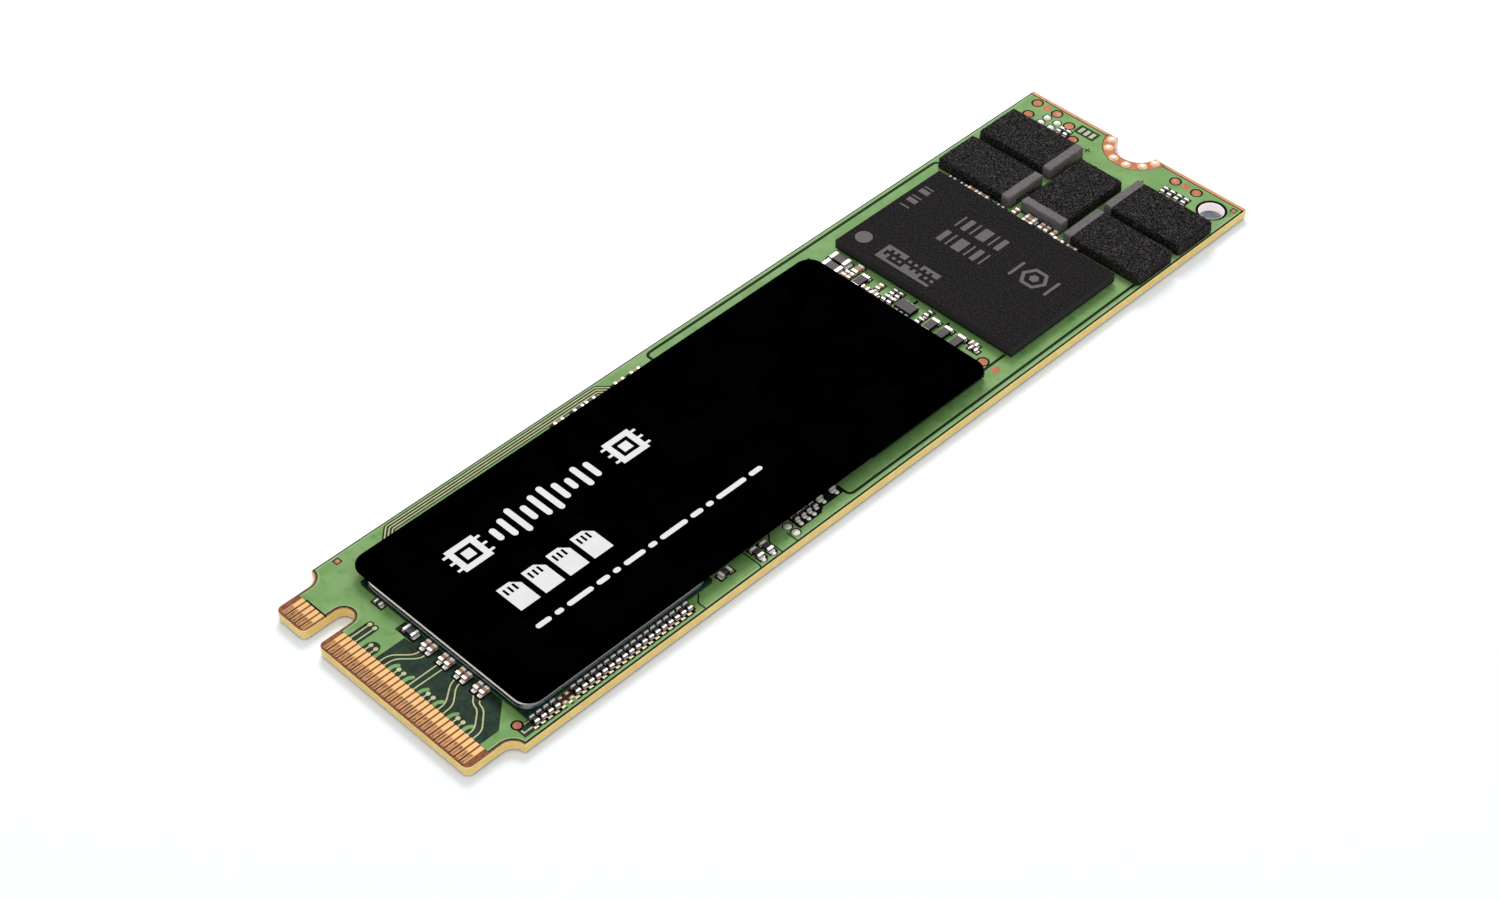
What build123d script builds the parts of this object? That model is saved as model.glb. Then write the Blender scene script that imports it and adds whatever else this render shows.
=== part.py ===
from build123d import *

import os

# Solid state drive on an M.2 2280 card with a key M edge connector, in millimetres.
# Frame: the origin is the centre of the tongue's leading edge, on the card's underside.
# +X runs towards contact 1, +Y towards the screw notch, +Z out of the component side.

# ---- card ----
CARD_WIDTH = 22.0
CARD_LENGTH = 80.15
CARD_THICKNESS = 0.8
TONGUE_WIDTH = 19.85
TONGUE_CORNER_RADIUS = 0.5
SHOULDER_Y = 4.0
KEY_X = -6.125
KEY_WIDTH = 1.6
KEY_DEPTH = 3.6
KEY_MOUTH_RADIUS = 0.45
SCREW_NOTCH_CENTRE = (0, CARD_LENGTH + 0.2)
SCREW_NOTCH_RADIUS = 1.93
CORNER_HOLE = (9.15, 78.15)
CORNER_HOLE_RADIUS = 1.01
COPPER = 0.035
PLATING = 0.02
TOP = CARD_THICKNESS

# ---- edge contacts ----
CONTACT_PITCH = 0.5
CONTACT_WIDTH = 0.35
CONTACT_START_Y = 0.12
CONTACT_END_Y = 1.95
TOP_CONTACT_RUNS = ((9.25, 29), (-7.25, 5))
BOTTOM_CONTACT_RUNS = ((9.0, 29), (-7.5, 4))

# ---- screw pad ----
SCREW_PAD_RADIUS = 2.87
PAD_VIA_RADIUS = 0.22
PAD_VIA_CIRCLE = 2.27
PAD_VIA_ANGLES = (16.3, 50.5, 79.0)
PAD_VIA_HEAD = 0.06
END_STRIP_WIDTH = 0.28
END_STRIP_GAP = 0.05

# ---- controller ----
CONTROLLER_CENTRE = (1.08, 13.98)
CONTROLLER_SIDE = 17.0
CONTROLLER_BALL_GAP = 0.2
# ball grids: columns, rows, pitch, ball radius, half-width of the empty middle
CONTROLLER_BALLS = (16, 16, 1.0, 0.28, 0)
SUBSTRATE_THICKNESS = 0.3
DIE_SIZE = (8.4, 9.2)
DIE_THICKNESS = 0.25
THERMAL_LAYER = 0.05
LID_FLANGE_SIDE = 17.0
LID_FLANGE_THICKNESS = 0.1
LID_FLANGE_CORNER = 1.3
LID_SIDE = 16.9
LID_CORNER = 1.2
LID_EDGE_RADIUS = 0.12
LID_CAVITY_SIDE = 14.6

# ---- packages with an encapsulated stack of dies ----
PACKAGE_HEIGHT = 1.0
MEMORY_SIZE = (18.0, 12.0)
MEMORY_X = 0.23
LABELLED_MEMORY_Y = 45.0
OPEN_MEMORY_Y = 60.0
MEMORY_BALL_GAP = 0.22
MEMORY_SUBSTRATE = 0.18
MEMORY_DIE = (13.0, 10.0, 0.07)
MEMORY_DIE_COUNT = 4
MEMORY_DIE_STEP = 0.35
MEMORY_BALLS = (15, 11, 1.0, 0.24, 1.5)
WORKING_MEMORY_BALLS = (9, 16, 0.8, 0.22, 1.3)
WORKING_MEMORY_CENTRE = (0.3, 30.8)
WORKING_MEMORY_SIZE = (8.0, 14.0)
WORKING_MEMORY_DIE = (6.2, 9.6, 0.25)

# ---- hold-up capacitors: length, width and seat follow the 7343 case ----
CAPACITOR_LENGTH = 7.3
CAPACITOR_WIDTH = 4.3
CAPACITOR_HEIGHT = 1.1
CAPACITOR_FLOOR = 0.1
CAPACITOR_PARTING = 0.45
UPPER_DRAFT = 3.0
LOWER_DRAFT = 14.0
LEAD_THICKNESS = 0.1
LEAD_WIDTH = 2.4
LEAD_FOOT = 1.3
LAND_WIDTH = 3.7
LAND_OVERHANG = 0.12
# centre x, centre y, and the turn that sends the marked end from -X to where it points
CAPACITOR_PLACES = (
    (-6.15, 74.2, 180),
    (-6.15, 69.2, 180),
    (0.45, 71.35, 90),
    (7.0, 74.0, 0),
    (7.0, 69.05, 0),
)

# ---- chip components: length, width, height and end-cap length ----
SIZE_0201 = (0.62, 0.34, 0.26, 0.16)
SIZE_0402 = (0.95, 0.5, 0.32, 0.22)
SIZE_0603 = (1.6, 0.8, 0.4, 0.3)
SIZE_WIDE = (1.0, 0.62, 0.36, 0.2)
COUPLING_SIZE = (0.66, 0.38, 0.34, 0.2)
TERMINATION_SIZE = (0.68, 0.36, 0.28, 0.17)
BEAD_SIZE = (1.54, 0.69, 0.4, 0.22)
CHIP_BODY_INSET = 0.01
UNFITTED_LAND_MARGIN = 0.08

COUPLING_FIRST_X = -0.06
COUPLING_PAIR_PITCH = 1.76
COUPLING_PAIR_COUNT = 4
COUPLING_GAP = 0.6
COUPLING_Y = 5.1

TERMINATION_X = 9.96
TERMINATION_FIRST_Y = 5.83
TERMINATION_PITCH = 0.606
TERMINATION_COUNT = 24
TERMINATION_UNFITTED = (4, 5)
FAN_OUT_X = 10.45
FAN_OUT_PAD = (0.2, 0.34)

DECOUPLING_0402 = (
    (-5.85, 66.7, "X"),
    (-4.75, 66.7, "X"),
    (3.05, 66.64, "X"),
    (4.35, 66.64, "X"),
    (-0.2, 67.3, "X"),
    (-0.2, 66.65, "X"),
    (-5.75, 53.35, "Y"),
    (-9.5, 33.4, "Y"),
    (-9.5, 31.8, "Y"),
    (-9.5, 25.8, "Y"),
)
DECOUPLING_0201 = (
    (-1.75, 67.2, "Y"),
    (0.95, 67.2, "Y"),
    (1.5, 67.2, "Y"),
    (2.2, 67.2, "Y"),
    (-3.2, 53.05, "Y"),
    (-3.9, 52.2, "X"),
    (-2.95, 52.2, "X"),
    (-5.7, 52.4, "Y"),
    (-6.15, 52.4, "Y"),
    (6.26, 53.24, "X"),
)
SETTING_0402 = (
    (-9.5, 28.9, "Y"),
    (-9.5, 27.75, "Y"),
    (9.56, 23.75, "Y"),
    (9.8, 26.6, "X"),
    (9.85, 27.5, "X"),
    (8.86, 33.45, "X"),
    (8.86, 34.75, "X"),
)
SETTING_0201 = (
    (9.3, 30.9, "X"),
    (9.35, 31.5, "X"),
    (9.3, 32.1, "X"),
    (9.35, 32.7, "X"),
    (-5.27, 5.27, "X"),
    (-8.03, 66.75, "X"),
    (-6.83, 66.75, "X"),
    (-2.95, 66.75, "X"),
    (-5.95, 77.65, "Y"),
    (-5.3, 77.65, "Y"),
    (4.95, 77.45, "Y"),
    (5.63, 77.45, "Y"),
    (6.32, 77.45, "Y"),
    (7.0, 77.45, "Y"),
    (1.55, 53.35, "Y"),
    (1.55, 52.3, "Y"),
    (-2.0, 53.35, "Y"),
    (-1.45, 53.35, "Y"),
    (-2.05, 52.45, "Y"),
    (-1.5, 52.45, "Y"),
    (6.6, 52.8, "X"),
)
SETTING_WIDE = ((-1.68, 5.1, "X"),)
SENSE_0603 = (
    (-7.48, 53.2, "X"),
    (-7.36, 52.15, "X"),
)
BEADS = (
    (-4.64, 52.4, "Y"),
    (2.6, 52.38, "Y"),
    (3.9, 52.36, "Y"),
    (5.22, 52.36, "Y"),
)

# ---- regulator with leads on two sides ----
REGULATOR_CENTRE = (-0.07, 52.64)
REGULATOR_BODY = (1.64, 0.98, 0.42)
REGULATOR_LEAD = (0.27, 0.24, 0.16)
REGULATOR_LEAD_PITCH = 0.5
REGULATOR_LEAD_STEPS = (-1, 0, 1)
REGULATOR_STAND_OFF = 0.04

# ---- parts that the label covers ----
POWER_CHIP_CENTRE = (-6.4, 27.4)
POWER_CHIP_BODY = (5.0, 5.0, 0.85)
POWER_CHIP_LEADS = 8
FLASH_CENTRE = (6.6, 26.3)
FLASH_BODY = (4.0, 3.0, 0.6)
FLASH_LEADS = 4
LEAD_FRAME = 0.05
LAND_LENGTH = 0.5
LAND_REACH = 0.05
CRYSTAL_CENTRE = (6.6, 30.4)
CRYSTAL_BASE = (2.5, 2.0, 0.3)
CRYSTAL_LID = (2.1, 1.6, 0.25)
CRYSTAL_LID_CORNER = 0.2
INDUCTOR_CORE = (2.0, 2.5, 0.9)
INDUCTOR_CHAMFER = 0.15
INDUCTOR_PLACES = ((-7.3, 32.4), (-7.3, 35.6), (6.6, 34.4))

# ---- bare and tinned pads, solder ----
TEST_PAD_RADIUS = 0.38
TEST_PADS = (
    (-9.7, 79.2),
    (-8.65, 79.15),
    (-7.6, 79.2),
    (-5.85, 78.65),
    (-9.3, 77.55),
    (-4.5, 77.45),
    (4.85, 79.05),
    (5.9, 79.1),
    (6.95, 79.05),
    (7.95, 52.3),
    (9.2, 52.3),
)
SMALL_TEST_PAD_RADIUS = 0.3
SMALL_TEST_PAD = (9.45, 4.73)
MARK_SIDE = 0.34
POSITION_MARKS = ((-10.4, 5.8), (10.43, 79.35))
# solder domes: radius, height, and where they are
LARGE_DOMES = (0.33, 0.2, ((-7.85, 78.25), (-6.8, 78.25), (-7.85, 77.4), (-6.8, 77.4)))
FLAT_DOMES = (0.32, 0.1, ((9.43, 30.0), (10.25, 30.0)))
SMALL_DOMES = (
    0.19,
    0.1,
    ((10.5, 26.57), (10.56, 27.5), (9.56, 33.55), (9.56, 34.85), (9.9, 30.9), (9.95, 31.6), (9.9, 32.2)),
)

# ---- labels ----
LABEL_X = (-8.91, 9.64)
LABEL_Y = (5.6, 51.22)
LABEL_CORNER = 1.3
LABEL_THICKNESS = 0.1
REAR_LABEL_X = (-9.5, 9.5)
REAR_LABEL_Y = (12.0, 66.0)
REAR_LABEL_CORNER = 1.0


def block(x_low, x_high, y_low, y_high, z_low, z_high):
    """A square-edged block between two corners."""
    size = (x_high - x_low, y_high - y_low, z_high - z_low)
    middle = ((x_low + x_high) / 2, (y_low + y_high) / 2, (z_low + z_high) / 2)
    return Pos(*middle) * Box(*size)


def centred_block(centre, size, z_low, z_high):
    """A block centred on a place of the card."""
    return Pos(centre[0], centre[1], (z_low + z_high) / 2) * Box(size[0], size[1], z_high - z_low)


def rounded_plate(centre, size, radius, z_low, z_high):
    """A plate with rounded corners."""
    outline = RectangleRounded(size[0], size[1], radius)
    return Pos(centre[0], centre[1], z_low) * extrude(outline, z_high - z_low)


def disc(centre, radius, z_low, z_high):
    """An upright cylinder."""
    return Pos(centre[0], centre[1], (z_low + z_high) / 2) * Cylinder(radius, z_high - z_low)


def save(node, *shapes):
    """Writes every solid of the given shapes to one STEP file."""
    solids = [solid for shape in shapes for solid in shape.solids()]
    whole = solids[0] if len(solids) == 1 else Compound(children=solids)
    export_step(whole, f"parts/{node}.step")


# ---------------------------------------------------------------- card and its metal


def pad_via_places():
    """The filled holes round the screw notch, mirrored about its middle line."""
    for degrees in PAD_VIA_ANGLES:
        for side in (-1, 1):
            offset = Vector(0, -PAD_VIA_CIRCLE, 0).rotate(Axis.Z, side * degrees)
            yield (offset.X, CARD_LENGTH + offset.Y)


def key_mouth_corner(x, side):
    """What the rounding takes off the card where the key slot opens at the leading edge."""
    radius = KEY_MOUTH_RADIUS
    inner, outer = sorted((x, x + side * radius))
    return block(inner, outer, 0, radius, 0, TOP) - disc((x + side * radius, radius), radius, 0, TOP)


def card():
    """The laminate: body, concave shoulders, tongue, key, screw notch and holes."""
    half = CARD_WIDTH / 2
    tongue_half = TONGUE_WIDTH / 2
    shoulder = half - tongue_half
    body = block(-half, half, SHOULDER_Y, CARD_LENGTH, 0, TOP)
    tongue = block(-tongue_half, tongue_half, 0, SHOULDER_Y, 0, TOP)
    front_corners = tongue.edges().filter_by(Axis.Z).group_by(Axis.Y)[0]
    shape = body + fillet(front_corners, TONGUE_CORNER_RADIUS)
    for side in (-1, 1):
        inner, outer = sorted((side * tongue_half, side * half))
        shape += block(inner, outer, SHOULDER_Y - shoulder, SHOULDER_Y, 0, TOP)
        shape -= disc((side * half, SHOULDER_Y - shoulder), shoulder, 0, TOP)
    key_end = KEY_DEPTH - KEY_WIDTH / 2
    key_half = KEY_WIDTH / 2
    shape -= block(KEY_X - key_half, KEY_X + key_half, -1, key_end, 0, TOP)
    shape -= disc((KEY_X, key_end), key_half, 0, TOP)
    for side in (-1, 1):
        shape -= key_mouth_corner(KEY_X + side * key_half, side)
    shape -= disc(SCREW_NOTCH_CENTRE, SCREW_NOTCH_RADIUS + PLATING, 0, TOP)
    shape -= disc(CORNER_HOLE, CORNER_HOLE_RADIUS + PLATING, 0, TOP)
    for place in pad_via_places():
        shape -= disc(place, PAD_VIA_RADIUS, 0, TOP)
    return shape


def contacts(runs, z_low, z_high):
    """Gold fingers: each run starts at its first contact and steps towards -X."""
    fingers = []
    half = CONTACT_WIDTH / 2
    for first_x, count in runs:
        for step in range(count):
            x = first_x - step * CONTACT_PITCH
            fingers.append(block(x - half, x + half, CONTACT_START_Y, CONTACT_END_Y, z_low, z_high))
    return fingers


def screw_pad():
    """Ground ring on both faces, joined by the plating of the notch wall."""
    notch = SCREW_NOTCH_CENTRE
    below = -COPPER
    above = TOP + COPPER
    ring = disc(notch, SCREW_PAD_RADIUS, below, above) - disc(notch, SCREW_PAD_RADIUS + 1, 0, TOP)
    barrel = disc(notch, SCREW_NOTCH_RADIUS + PLATING, 0, TOP)
    shape = ring + barrel - disc(notch, SCREW_NOTCH_RADIUS, below, above)
    for place in pad_via_places():
        shape -= disc(place, PAD_VIA_RADIUS, below, above)
    return shape & block(-CARD_WIDTH, CARD_WIDTH, 0, CARD_LENGTH, below, above)


def pad_vias():
    """Solder plugs through the screw pad, each with a low head on the component side."""
    plugs = []
    head_base = TOP + COPPER
    for place in pad_via_places():
        plug = disc(place, PAD_VIA_RADIUS, -COPPER, head_base)
        dome = extrude(Circle(PAD_VIA_RADIUS), PAD_VIA_HEAD, taper=45)
        head = Pos(place[0], place[1], head_base) * dome
        plugs.append(plug + head)
    return plugs


def end_strips():
    """Bare copper along the far edge, on each side of the screw pad."""
    y_low = CARD_LENGTH - END_STRIP_WIDTH
    half = CARD_WIDTH / 2
    gap = SCREW_PAD_RADIUS + END_STRIP_GAP
    return [
        block(-half, -gap, y_low, CARD_LENGTH, TOP, TOP + COPPER),
        block(gap, half, y_low, CARD_LENGTH, TOP, TOP + COPPER),
    ]


def test_pads():
    pads = [disc(place, TEST_PAD_RADIUS, TOP, TOP + COPPER) for place in TEST_PADS]
    return pads + [disc(SMALL_TEST_PAD, SMALL_TEST_PAD_RADIUS, TOP, TOP + COPPER)]


def position_marks():
    size = (MARK_SIDE, MARK_SIDE)
    return [centred_block(place, size, TOP, TOP + COPPER) for place in POSITION_MARKS]


def termination_y(position):
    return TERMINATION_FIRST_Y + position * TERMINATION_PITCH


def fan_out_pads():
    """Tinned pads between the termination chips, and the lands of the unfitted ones."""
    pads = []
    for position in range(TERMINATION_COUNT):
        y = termination_y(position) - TERMINATION_PITCH / 2
        pads.append(centred_block((FAN_OUT_X, y), FAN_OUT_PAD, TOP, TOP + COPPER))
    land = (TERMINATION_SIZE[3] + UNFITTED_LAND_MARGIN, TERMINATION_SIZE[1])
    reach = (TERMINATION_SIZE[0] - TERMINATION_SIZE[3]) / 2
    for position in TERMINATION_UNFITTED:
        for side in (-1, 1):
            centre = (TERMINATION_X + side * reach, termination_y(position))
            pads.append(centred_block(centre, land, TOP, TOP + COPPER))
    return pads


def solder_domes():
    """Rounded solder on lands that carry no component."""
    domes = []
    for radius, height, places in (LARGE_DOMES, FLAT_DOMES, SMALL_DOMES):
        sphere_radius = (radius**2 + height**2) / (2 * height)
        for x, y in places:
            ball = Pos(x, y, TOP + height - sphere_radius) * Sphere(sphere_radius)
            above_card = disc((x, y), sphere_radius, TOP, TOP + sphere_radius)
            domes.append(ball & above_card)
    return domes


# ---------------------------------------------------------------- packages


def ball_grid(centre, grid, gap):
    """Solder balls between the card and a substrate, none of them in the empty middle."""
    columns, rows, pitch, radius, empty_half_width = grid
    balls = []
    for column in range(columns):
        for row in range(rows):
            x = (column - (columns - 1) / 2) * pitch
            y = (row - (rows - 1) / 2) * pitch
            if abs(x) >= empty_half_width:
                balls.append(disc((centre[0] + x, centre[1] + y), radius, TOP, TOP + gap))
    return balls


def controller():
    """Ball grid, substrate, flipped die, thermal layer and stamped lid."""
    side = (CONTROLLER_SIDE, CONTROLLER_SIDE)
    floor = TOP + CONTROLLER_BALL_GAP
    deck = floor + SUBSTRATE_THICKNESS
    die_top = deck + DIE_THICKNESS
    lid_inside = die_top + THERMAL_LAYER
    lid_top = TOP + PACKAGE_HEIGHT
    flange_top = deck + LID_FLANGE_THICKNESS

    save("controller_balls", *ball_grid(CONTROLLER_CENTRE, CONTROLLER_BALLS, CONTROLLER_BALL_GAP))
    save("controller_substrate", centred_block(CONTROLLER_CENTRE, side, floor, deck))
    save("controller_die", centred_block(CONTROLLER_CENTRE, DIE_SIZE, deck, die_top))
    save("controller_thermal_layer", centred_block(CONTROLLER_CENTRE, DIE_SIZE, die_top, lid_inside))

    flange_size = (LID_FLANGE_SIDE, LID_FLANGE_SIDE)
    flange = rounded_plate(CONTROLLER_CENTRE, flange_size, LID_FLANGE_CORNER, deck, flange_top)
    cap = rounded_plate(CONTROLLER_CENTRE, (LID_SIDE, LID_SIDE), LID_CORNER, flange_top, lid_top)
    cap = fillet(cap.faces().sort_by(Axis.Z)[-1].edges(), LID_EDGE_RADIUS)
    cavity_size = (LID_CAVITY_SIDE, LID_CAVITY_SIDE)
    cavity = rounded_plate(CONTROLLER_CENTRE, cavity_size, LID_CORNER, deck, lid_inside)
    save("controller_lid", flange + cap - cavity)


def moulded_package(name, centre, size, dies):
    """Substrate, stacked dies and the mould that encloses them."""
    floor = TOP + MEMORY_BALL_GAP
    deck = floor + MEMORY_SUBSTRATE
    save(f"{name}_substrate", centred_block(centre, size, floor, deck))
    save(f"{name}_dies" if len(dies) > 1 else f"{name}_die", *dies)
    mould = centred_block(centre, size, deck, TOP + PACKAGE_HEIGHT)
    for die in dies:
        mould -= die
    save(f"{name}_mould", mould)


def memory_package(name, y):
    """A flash package: its dies are stepped along X so that each one can be bonded."""
    centre = (MEMORY_X, y)
    width, length, thickness = MEMORY_DIE
    deck = TOP + MEMORY_BALL_GAP + MEMORY_SUBSTRATE
    dies = []
    for level in range(MEMORY_DIE_COUNT):
        shift = (level - (MEMORY_DIE_COUNT - 1) / 2) * MEMORY_DIE_STEP
        low = deck + level * thickness
        dies.append(centred_block((MEMORY_X + shift, y), (width, length), low, low + thickness))
    moulded_package(name, centre, MEMORY_SIZE, dies)
    save(f"{name}_balls", *ball_grid(centre, MEMORY_BALLS, MEMORY_BALL_GAP))


def working_memory():
    centre = WORKING_MEMORY_CENTRE
    width, length, thickness = WORKING_MEMORY_DIE
    deck = TOP + MEMORY_BALL_GAP + MEMORY_SUBSTRATE
    die = centred_block(centre, (width, length), deck, deck + thickness)
    moulded_package("working_memory", centre, WORKING_MEMORY_SIZE, [die])
    save("working_memory_balls", *ball_grid(centre, WORKING_MEMORY_BALLS, MEMORY_BALL_GAP))


# ---------------------------------------------------------------- hold-up capacitors


def capacitor_body():
    """Moulded case with drafted sides that meet at a parting line; marked end at -X."""
    outline = Rectangle(CAPACITOR_LENGTH, CAPACITOR_WIDTH)
    rise = CAPACITOR_HEIGHT - CAPACITOR_PARTING
    drop = CAPACITOR_PARTING - CAPACITOR_FLOOR
    upper = extrude(outline, rise, taper=UPPER_DRAFT)
    lower = extrude(outline, -drop, taper=LOWER_DRAFT)
    return Pos(0, 0, CAPACITOR_PARTING) * (upper + lower)


def capacitor_leads():
    """Folded strips: up the end wall to the parting line, and back under the case."""
    leads = []
    half = CAPACITOR_LENGTH / 2
    for side in (-1, 1):
        wall = sorted((side * half, side * (half + LEAD_THICKNESS)))
        foot = sorted((side * (half - LEAD_FOOT), side * (half + LEAD_THICKNESS)))
        width = LEAD_WIDTH / 2
        upright = block(wall[0], wall[1], -width, width, COPPER, CAPACITOR_PARTING)
        flat = block(foot[0], foot[1], -width, width, COPPER, CAPACITOR_FLOOR)
        leads.append(upright + flat)
    return leads


def capacitor_lands():
    """Copper lands under the two ends, a little longer than the case."""
    half = CAPACITOR_LENGTH / 2
    width = LAND_WIDTH / 2
    lands = []
    for side in (-1, 1):
        span = sorted((side * (half - LEAD_FOOT), side * (half + LAND_OVERHANG)))
        lands.append(block(span[0], span[1], -width, width, 0, COPPER))
    return lands


def hold_up_capacitors():
    leads = []
    lands = []
    for number, (x, y, turn) in enumerate(CAPACITOR_PLACES, start=1):
        place = Pos(x, y, TOP) * Rot(0, 0, turn)
        save(f"hold_up_capacitor_{number}", place * capacitor_body())
        leads += [place * lead for lead in capacitor_leads()]
        lands += [place * land for land in capacitor_lands()]
    save("hold_up_capacitor_leads", *leads)
    save("hold_up_capacitor_lands", *lands)


# ---------------------------------------------------------------- chip components


def chip(x, y, along, size):
    """One chip component: the ceramic between its two metal ends."""
    length, width, height, cap = size
    place = Pos(x, y, TOP) * Rot(0, 0, 90 if along == "Y" else 0)
    half = length / 2
    wide = width / 2
    slim = wide - CHIP_BODY_INSET
    body = block(-half + cap, half - cap, -slim, slim, 0, height - CHIP_BODY_INSET)
    ends = [
        block(-half, -half + cap, -wide, wide, 0, height),
        block(half - cap, half, -wide, wide, 0, height),
    ]
    return place * body, [place * end for end in ends]


def chip_group(name, *runs):
    """Writes the bodies and the ends of runs of chips; a run is its places and a size."""
    bodies = []
    ends = []
    for places, size in runs:
        for x, y, along in places:
            body, caps = chip(x, y, along, size)
            bodies.append(body)
            ends += caps
    save(f"{name}_bodies", *bodies)
    save(f"{name}_ends", *ends)


def coupling_places():
    for pair in range(COUPLING_PAIR_COUNT):
        x = COUPLING_FIRST_X + pair * COUPLING_PAIR_PITCH
        yield (x, COUPLING_Y, "Y")
        yield (x + COUPLING_GAP, COUPLING_Y, "Y")


def termination_places():
    for position in range(TERMINATION_COUNT):
        if position not in TERMINATION_UNFITTED:
            yield (TERMINATION_X, termination_y(position), "X")


def chips():
    chip_group("coupling_capacitor", (coupling_places(), COUPLING_SIZE))
    chip_group("termination_resistor", (termination_places(), TERMINATION_SIZE))
    chip_group("decoupling_capacitor", (DECOUPLING_0402, SIZE_0402), (DECOUPLING_0201, SIZE_0201))
    setting_runs = ((SETTING_0402, SIZE_0402), (SETTING_0201, SIZE_0201), (SETTING_WIDE, SIZE_WIDE))
    chip_group("setting_resistor", *setting_runs)
    chip_group("sense_resistor", (SENSE_0603, SIZE_0603))
    chip_group("ferrite_bead", (BEADS, BEAD_SIZE))


# ---------------------------------------------------------------- small packages


def regulator():
    """A small moulded package with three leads on each long side."""
    width, length, height = REGULATOR_BODY
    lead_width, lead_reach, lead_height = REGULATOR_LEAD
    x, y = REGULATOR_CENTRE
    floor = TOP + REGULATOR_STAND_OFF
    save("regulator_body", centred_block(REGULATOR_CENTRE, (width, length), floor, TOP + height))
    leads = []
    for side in (-1, 1):
        for step in REGULATOR_LEAD_STEPS:
            centre = (x + step * REGULATOR_LEAD_PITCH, y + side * (length + lead_reach) / 2)
            leads.append(centred_block(centre, (lead_width, lead_reach), TOP, TOP + lead_height))
    save("regulator_leads", *leads)


def leadless_chip(name, centre, body, count):
    """A leadless package on flat lands, with the same number of them on each X side."""
    width, length, height = body
    save(f"{name}_body", centred_block(centre, (width, length), TOP + LEAD_FRAME, TOP + height))
    lands = []
    pitch = length / (count + 1)
    for side in (-1, 1):
        for step in range(count):
            y = centre[1] + (step - (count - 1) / 2) * pitch
            x = centre[0] + side * ((width - LAND_LENGTH) / 2 + LAND_REACH)
            lands.append(centred_block((x, y), (LAND_LENGTH, pitch / 2), TOP, TOP + LEAD_FRAME))
    save(f"{name}_lands", *lands)


def crystal():
    """The clock crystal: a ceramic base and its welded metal lid."""
    base_top = TOP + CRYSTAL_BASE[2]
    base = centred_block(CRYSTAL_CENTRE, CRYSTAL_BASE[:2], TOP, base_top)
    lid_top = base_top + CRYSTAL_LID[2]
    lid = rounded_plate(CRYSTAL_CENTRE, CRYSTAL_LID[:2], CRYSTAL_LID_CORNER, base_top, lid_top)
    save("crystal_base", base)
    save("crystal_lid", lid)


def power_inductors():
    """Moulded inductors, chamfered, for the supply rails."""
    width, length, height = INDUCTOR_CORE
    cores = []
    for centre in INDUCTOR_PLACES:
        core = centred_block(centre, (width, length), TOP, TOP + height)
        cores.append(chamfer(core.faces().sort_by(Axis.Z)[-1].edges(), INDUCTOR_CHAMFER))
    save("power_inductors", *cores)


# ---------------------------------------------------------------- labels


def label(name, x_range, y_range, corner, z_low, z_high):
    centre = (sum(x_range) / 2, sum(y_range) / 2)
    size = (x_range[1] - x_range[0], y_range[1] - y_range[0])
    save(name, rounded_plate(centre, size, corner, z_low, z_high))


os.makedirs("parts", exist_ok=True)
save("circuit_board", card())
save("edge_contacts_top", *contacts(TOP_CONTACT_RUNS, TOP, TOP + COPPER))
save("edge_contacts_bottom", *contacts(BOTTOM_CONTACT_RUNS, -COPPER, 0))
save("screw_pad", screw_pad())
save("screw_pad_vias", *pad_vias())
save("end_strips", *end_strips())
save("test_pads", *test_pads())
save("position_marks", *position_marks())
save("fan_out_pads", *fan_out_pads())
save("solder_domes", *solder_domes())
hole_plating = disc(CORNER_HOLE, CORNER_HOLE_RADIUS + PLATING, 0, TOP)
save("corner_hole_barrel", hole_plating - disc(CORNER_HOLE, CORNER_HOLE_RADIUS, 0, TOP))
controller()
memory_package("labelled_memory", LABELLED_MEMORY_Y)
memory_package("open_memory", OPEN_MEMORY_Y)
working_memory()
hold_up_capacitors()
chips()
regulator()
leadless_chip("power_chip", POWER_CHIP_CENTRE, POWER_CHIP_BODY, POWER_CHIP_LEADS)
leadless_chip("firmware_flash", FLASH_CENTRE, FLASH_BODY, FLASH_LEADS)
crystal()
power_inductors()
label_floor = TOP + PACKAGE_HEIGHT
label("top_label", LABEL_X, LABEL_Y, LABEL_CORNER, label_floor, label_floor + LABEL_THICKNESS)
label("rear_label", REAR_LABEL_X, REAR_LABEL_Y, REAR_LABEL_CORNER, -LABEL_THICKNESS, 0)
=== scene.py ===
import math

import bpy
from mathutils import Matrix, Vector, noise
from mathutils.geometry import delaunay_2d_cdt


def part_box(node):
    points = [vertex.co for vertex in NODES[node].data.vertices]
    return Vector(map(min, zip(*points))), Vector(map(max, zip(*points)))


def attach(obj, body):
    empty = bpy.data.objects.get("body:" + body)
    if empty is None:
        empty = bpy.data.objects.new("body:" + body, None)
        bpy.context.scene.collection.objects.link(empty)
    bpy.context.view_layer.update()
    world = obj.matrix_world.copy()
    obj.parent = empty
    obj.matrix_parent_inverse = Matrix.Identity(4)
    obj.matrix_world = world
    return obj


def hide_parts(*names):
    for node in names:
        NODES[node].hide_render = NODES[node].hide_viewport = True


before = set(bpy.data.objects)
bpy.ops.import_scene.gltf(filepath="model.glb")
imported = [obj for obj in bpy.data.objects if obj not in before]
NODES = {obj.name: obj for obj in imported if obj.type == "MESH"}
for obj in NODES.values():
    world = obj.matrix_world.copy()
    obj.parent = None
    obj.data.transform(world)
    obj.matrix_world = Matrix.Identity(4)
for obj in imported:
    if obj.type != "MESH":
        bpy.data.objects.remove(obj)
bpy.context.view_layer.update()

# Looks of the solid state drive. Lengths are in millimetres and become metres only in new_mesh().
# Card frame: +X towards contact 1, +Y towards the screw notch, +Z out of the component side.

MM = 0.001


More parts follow.
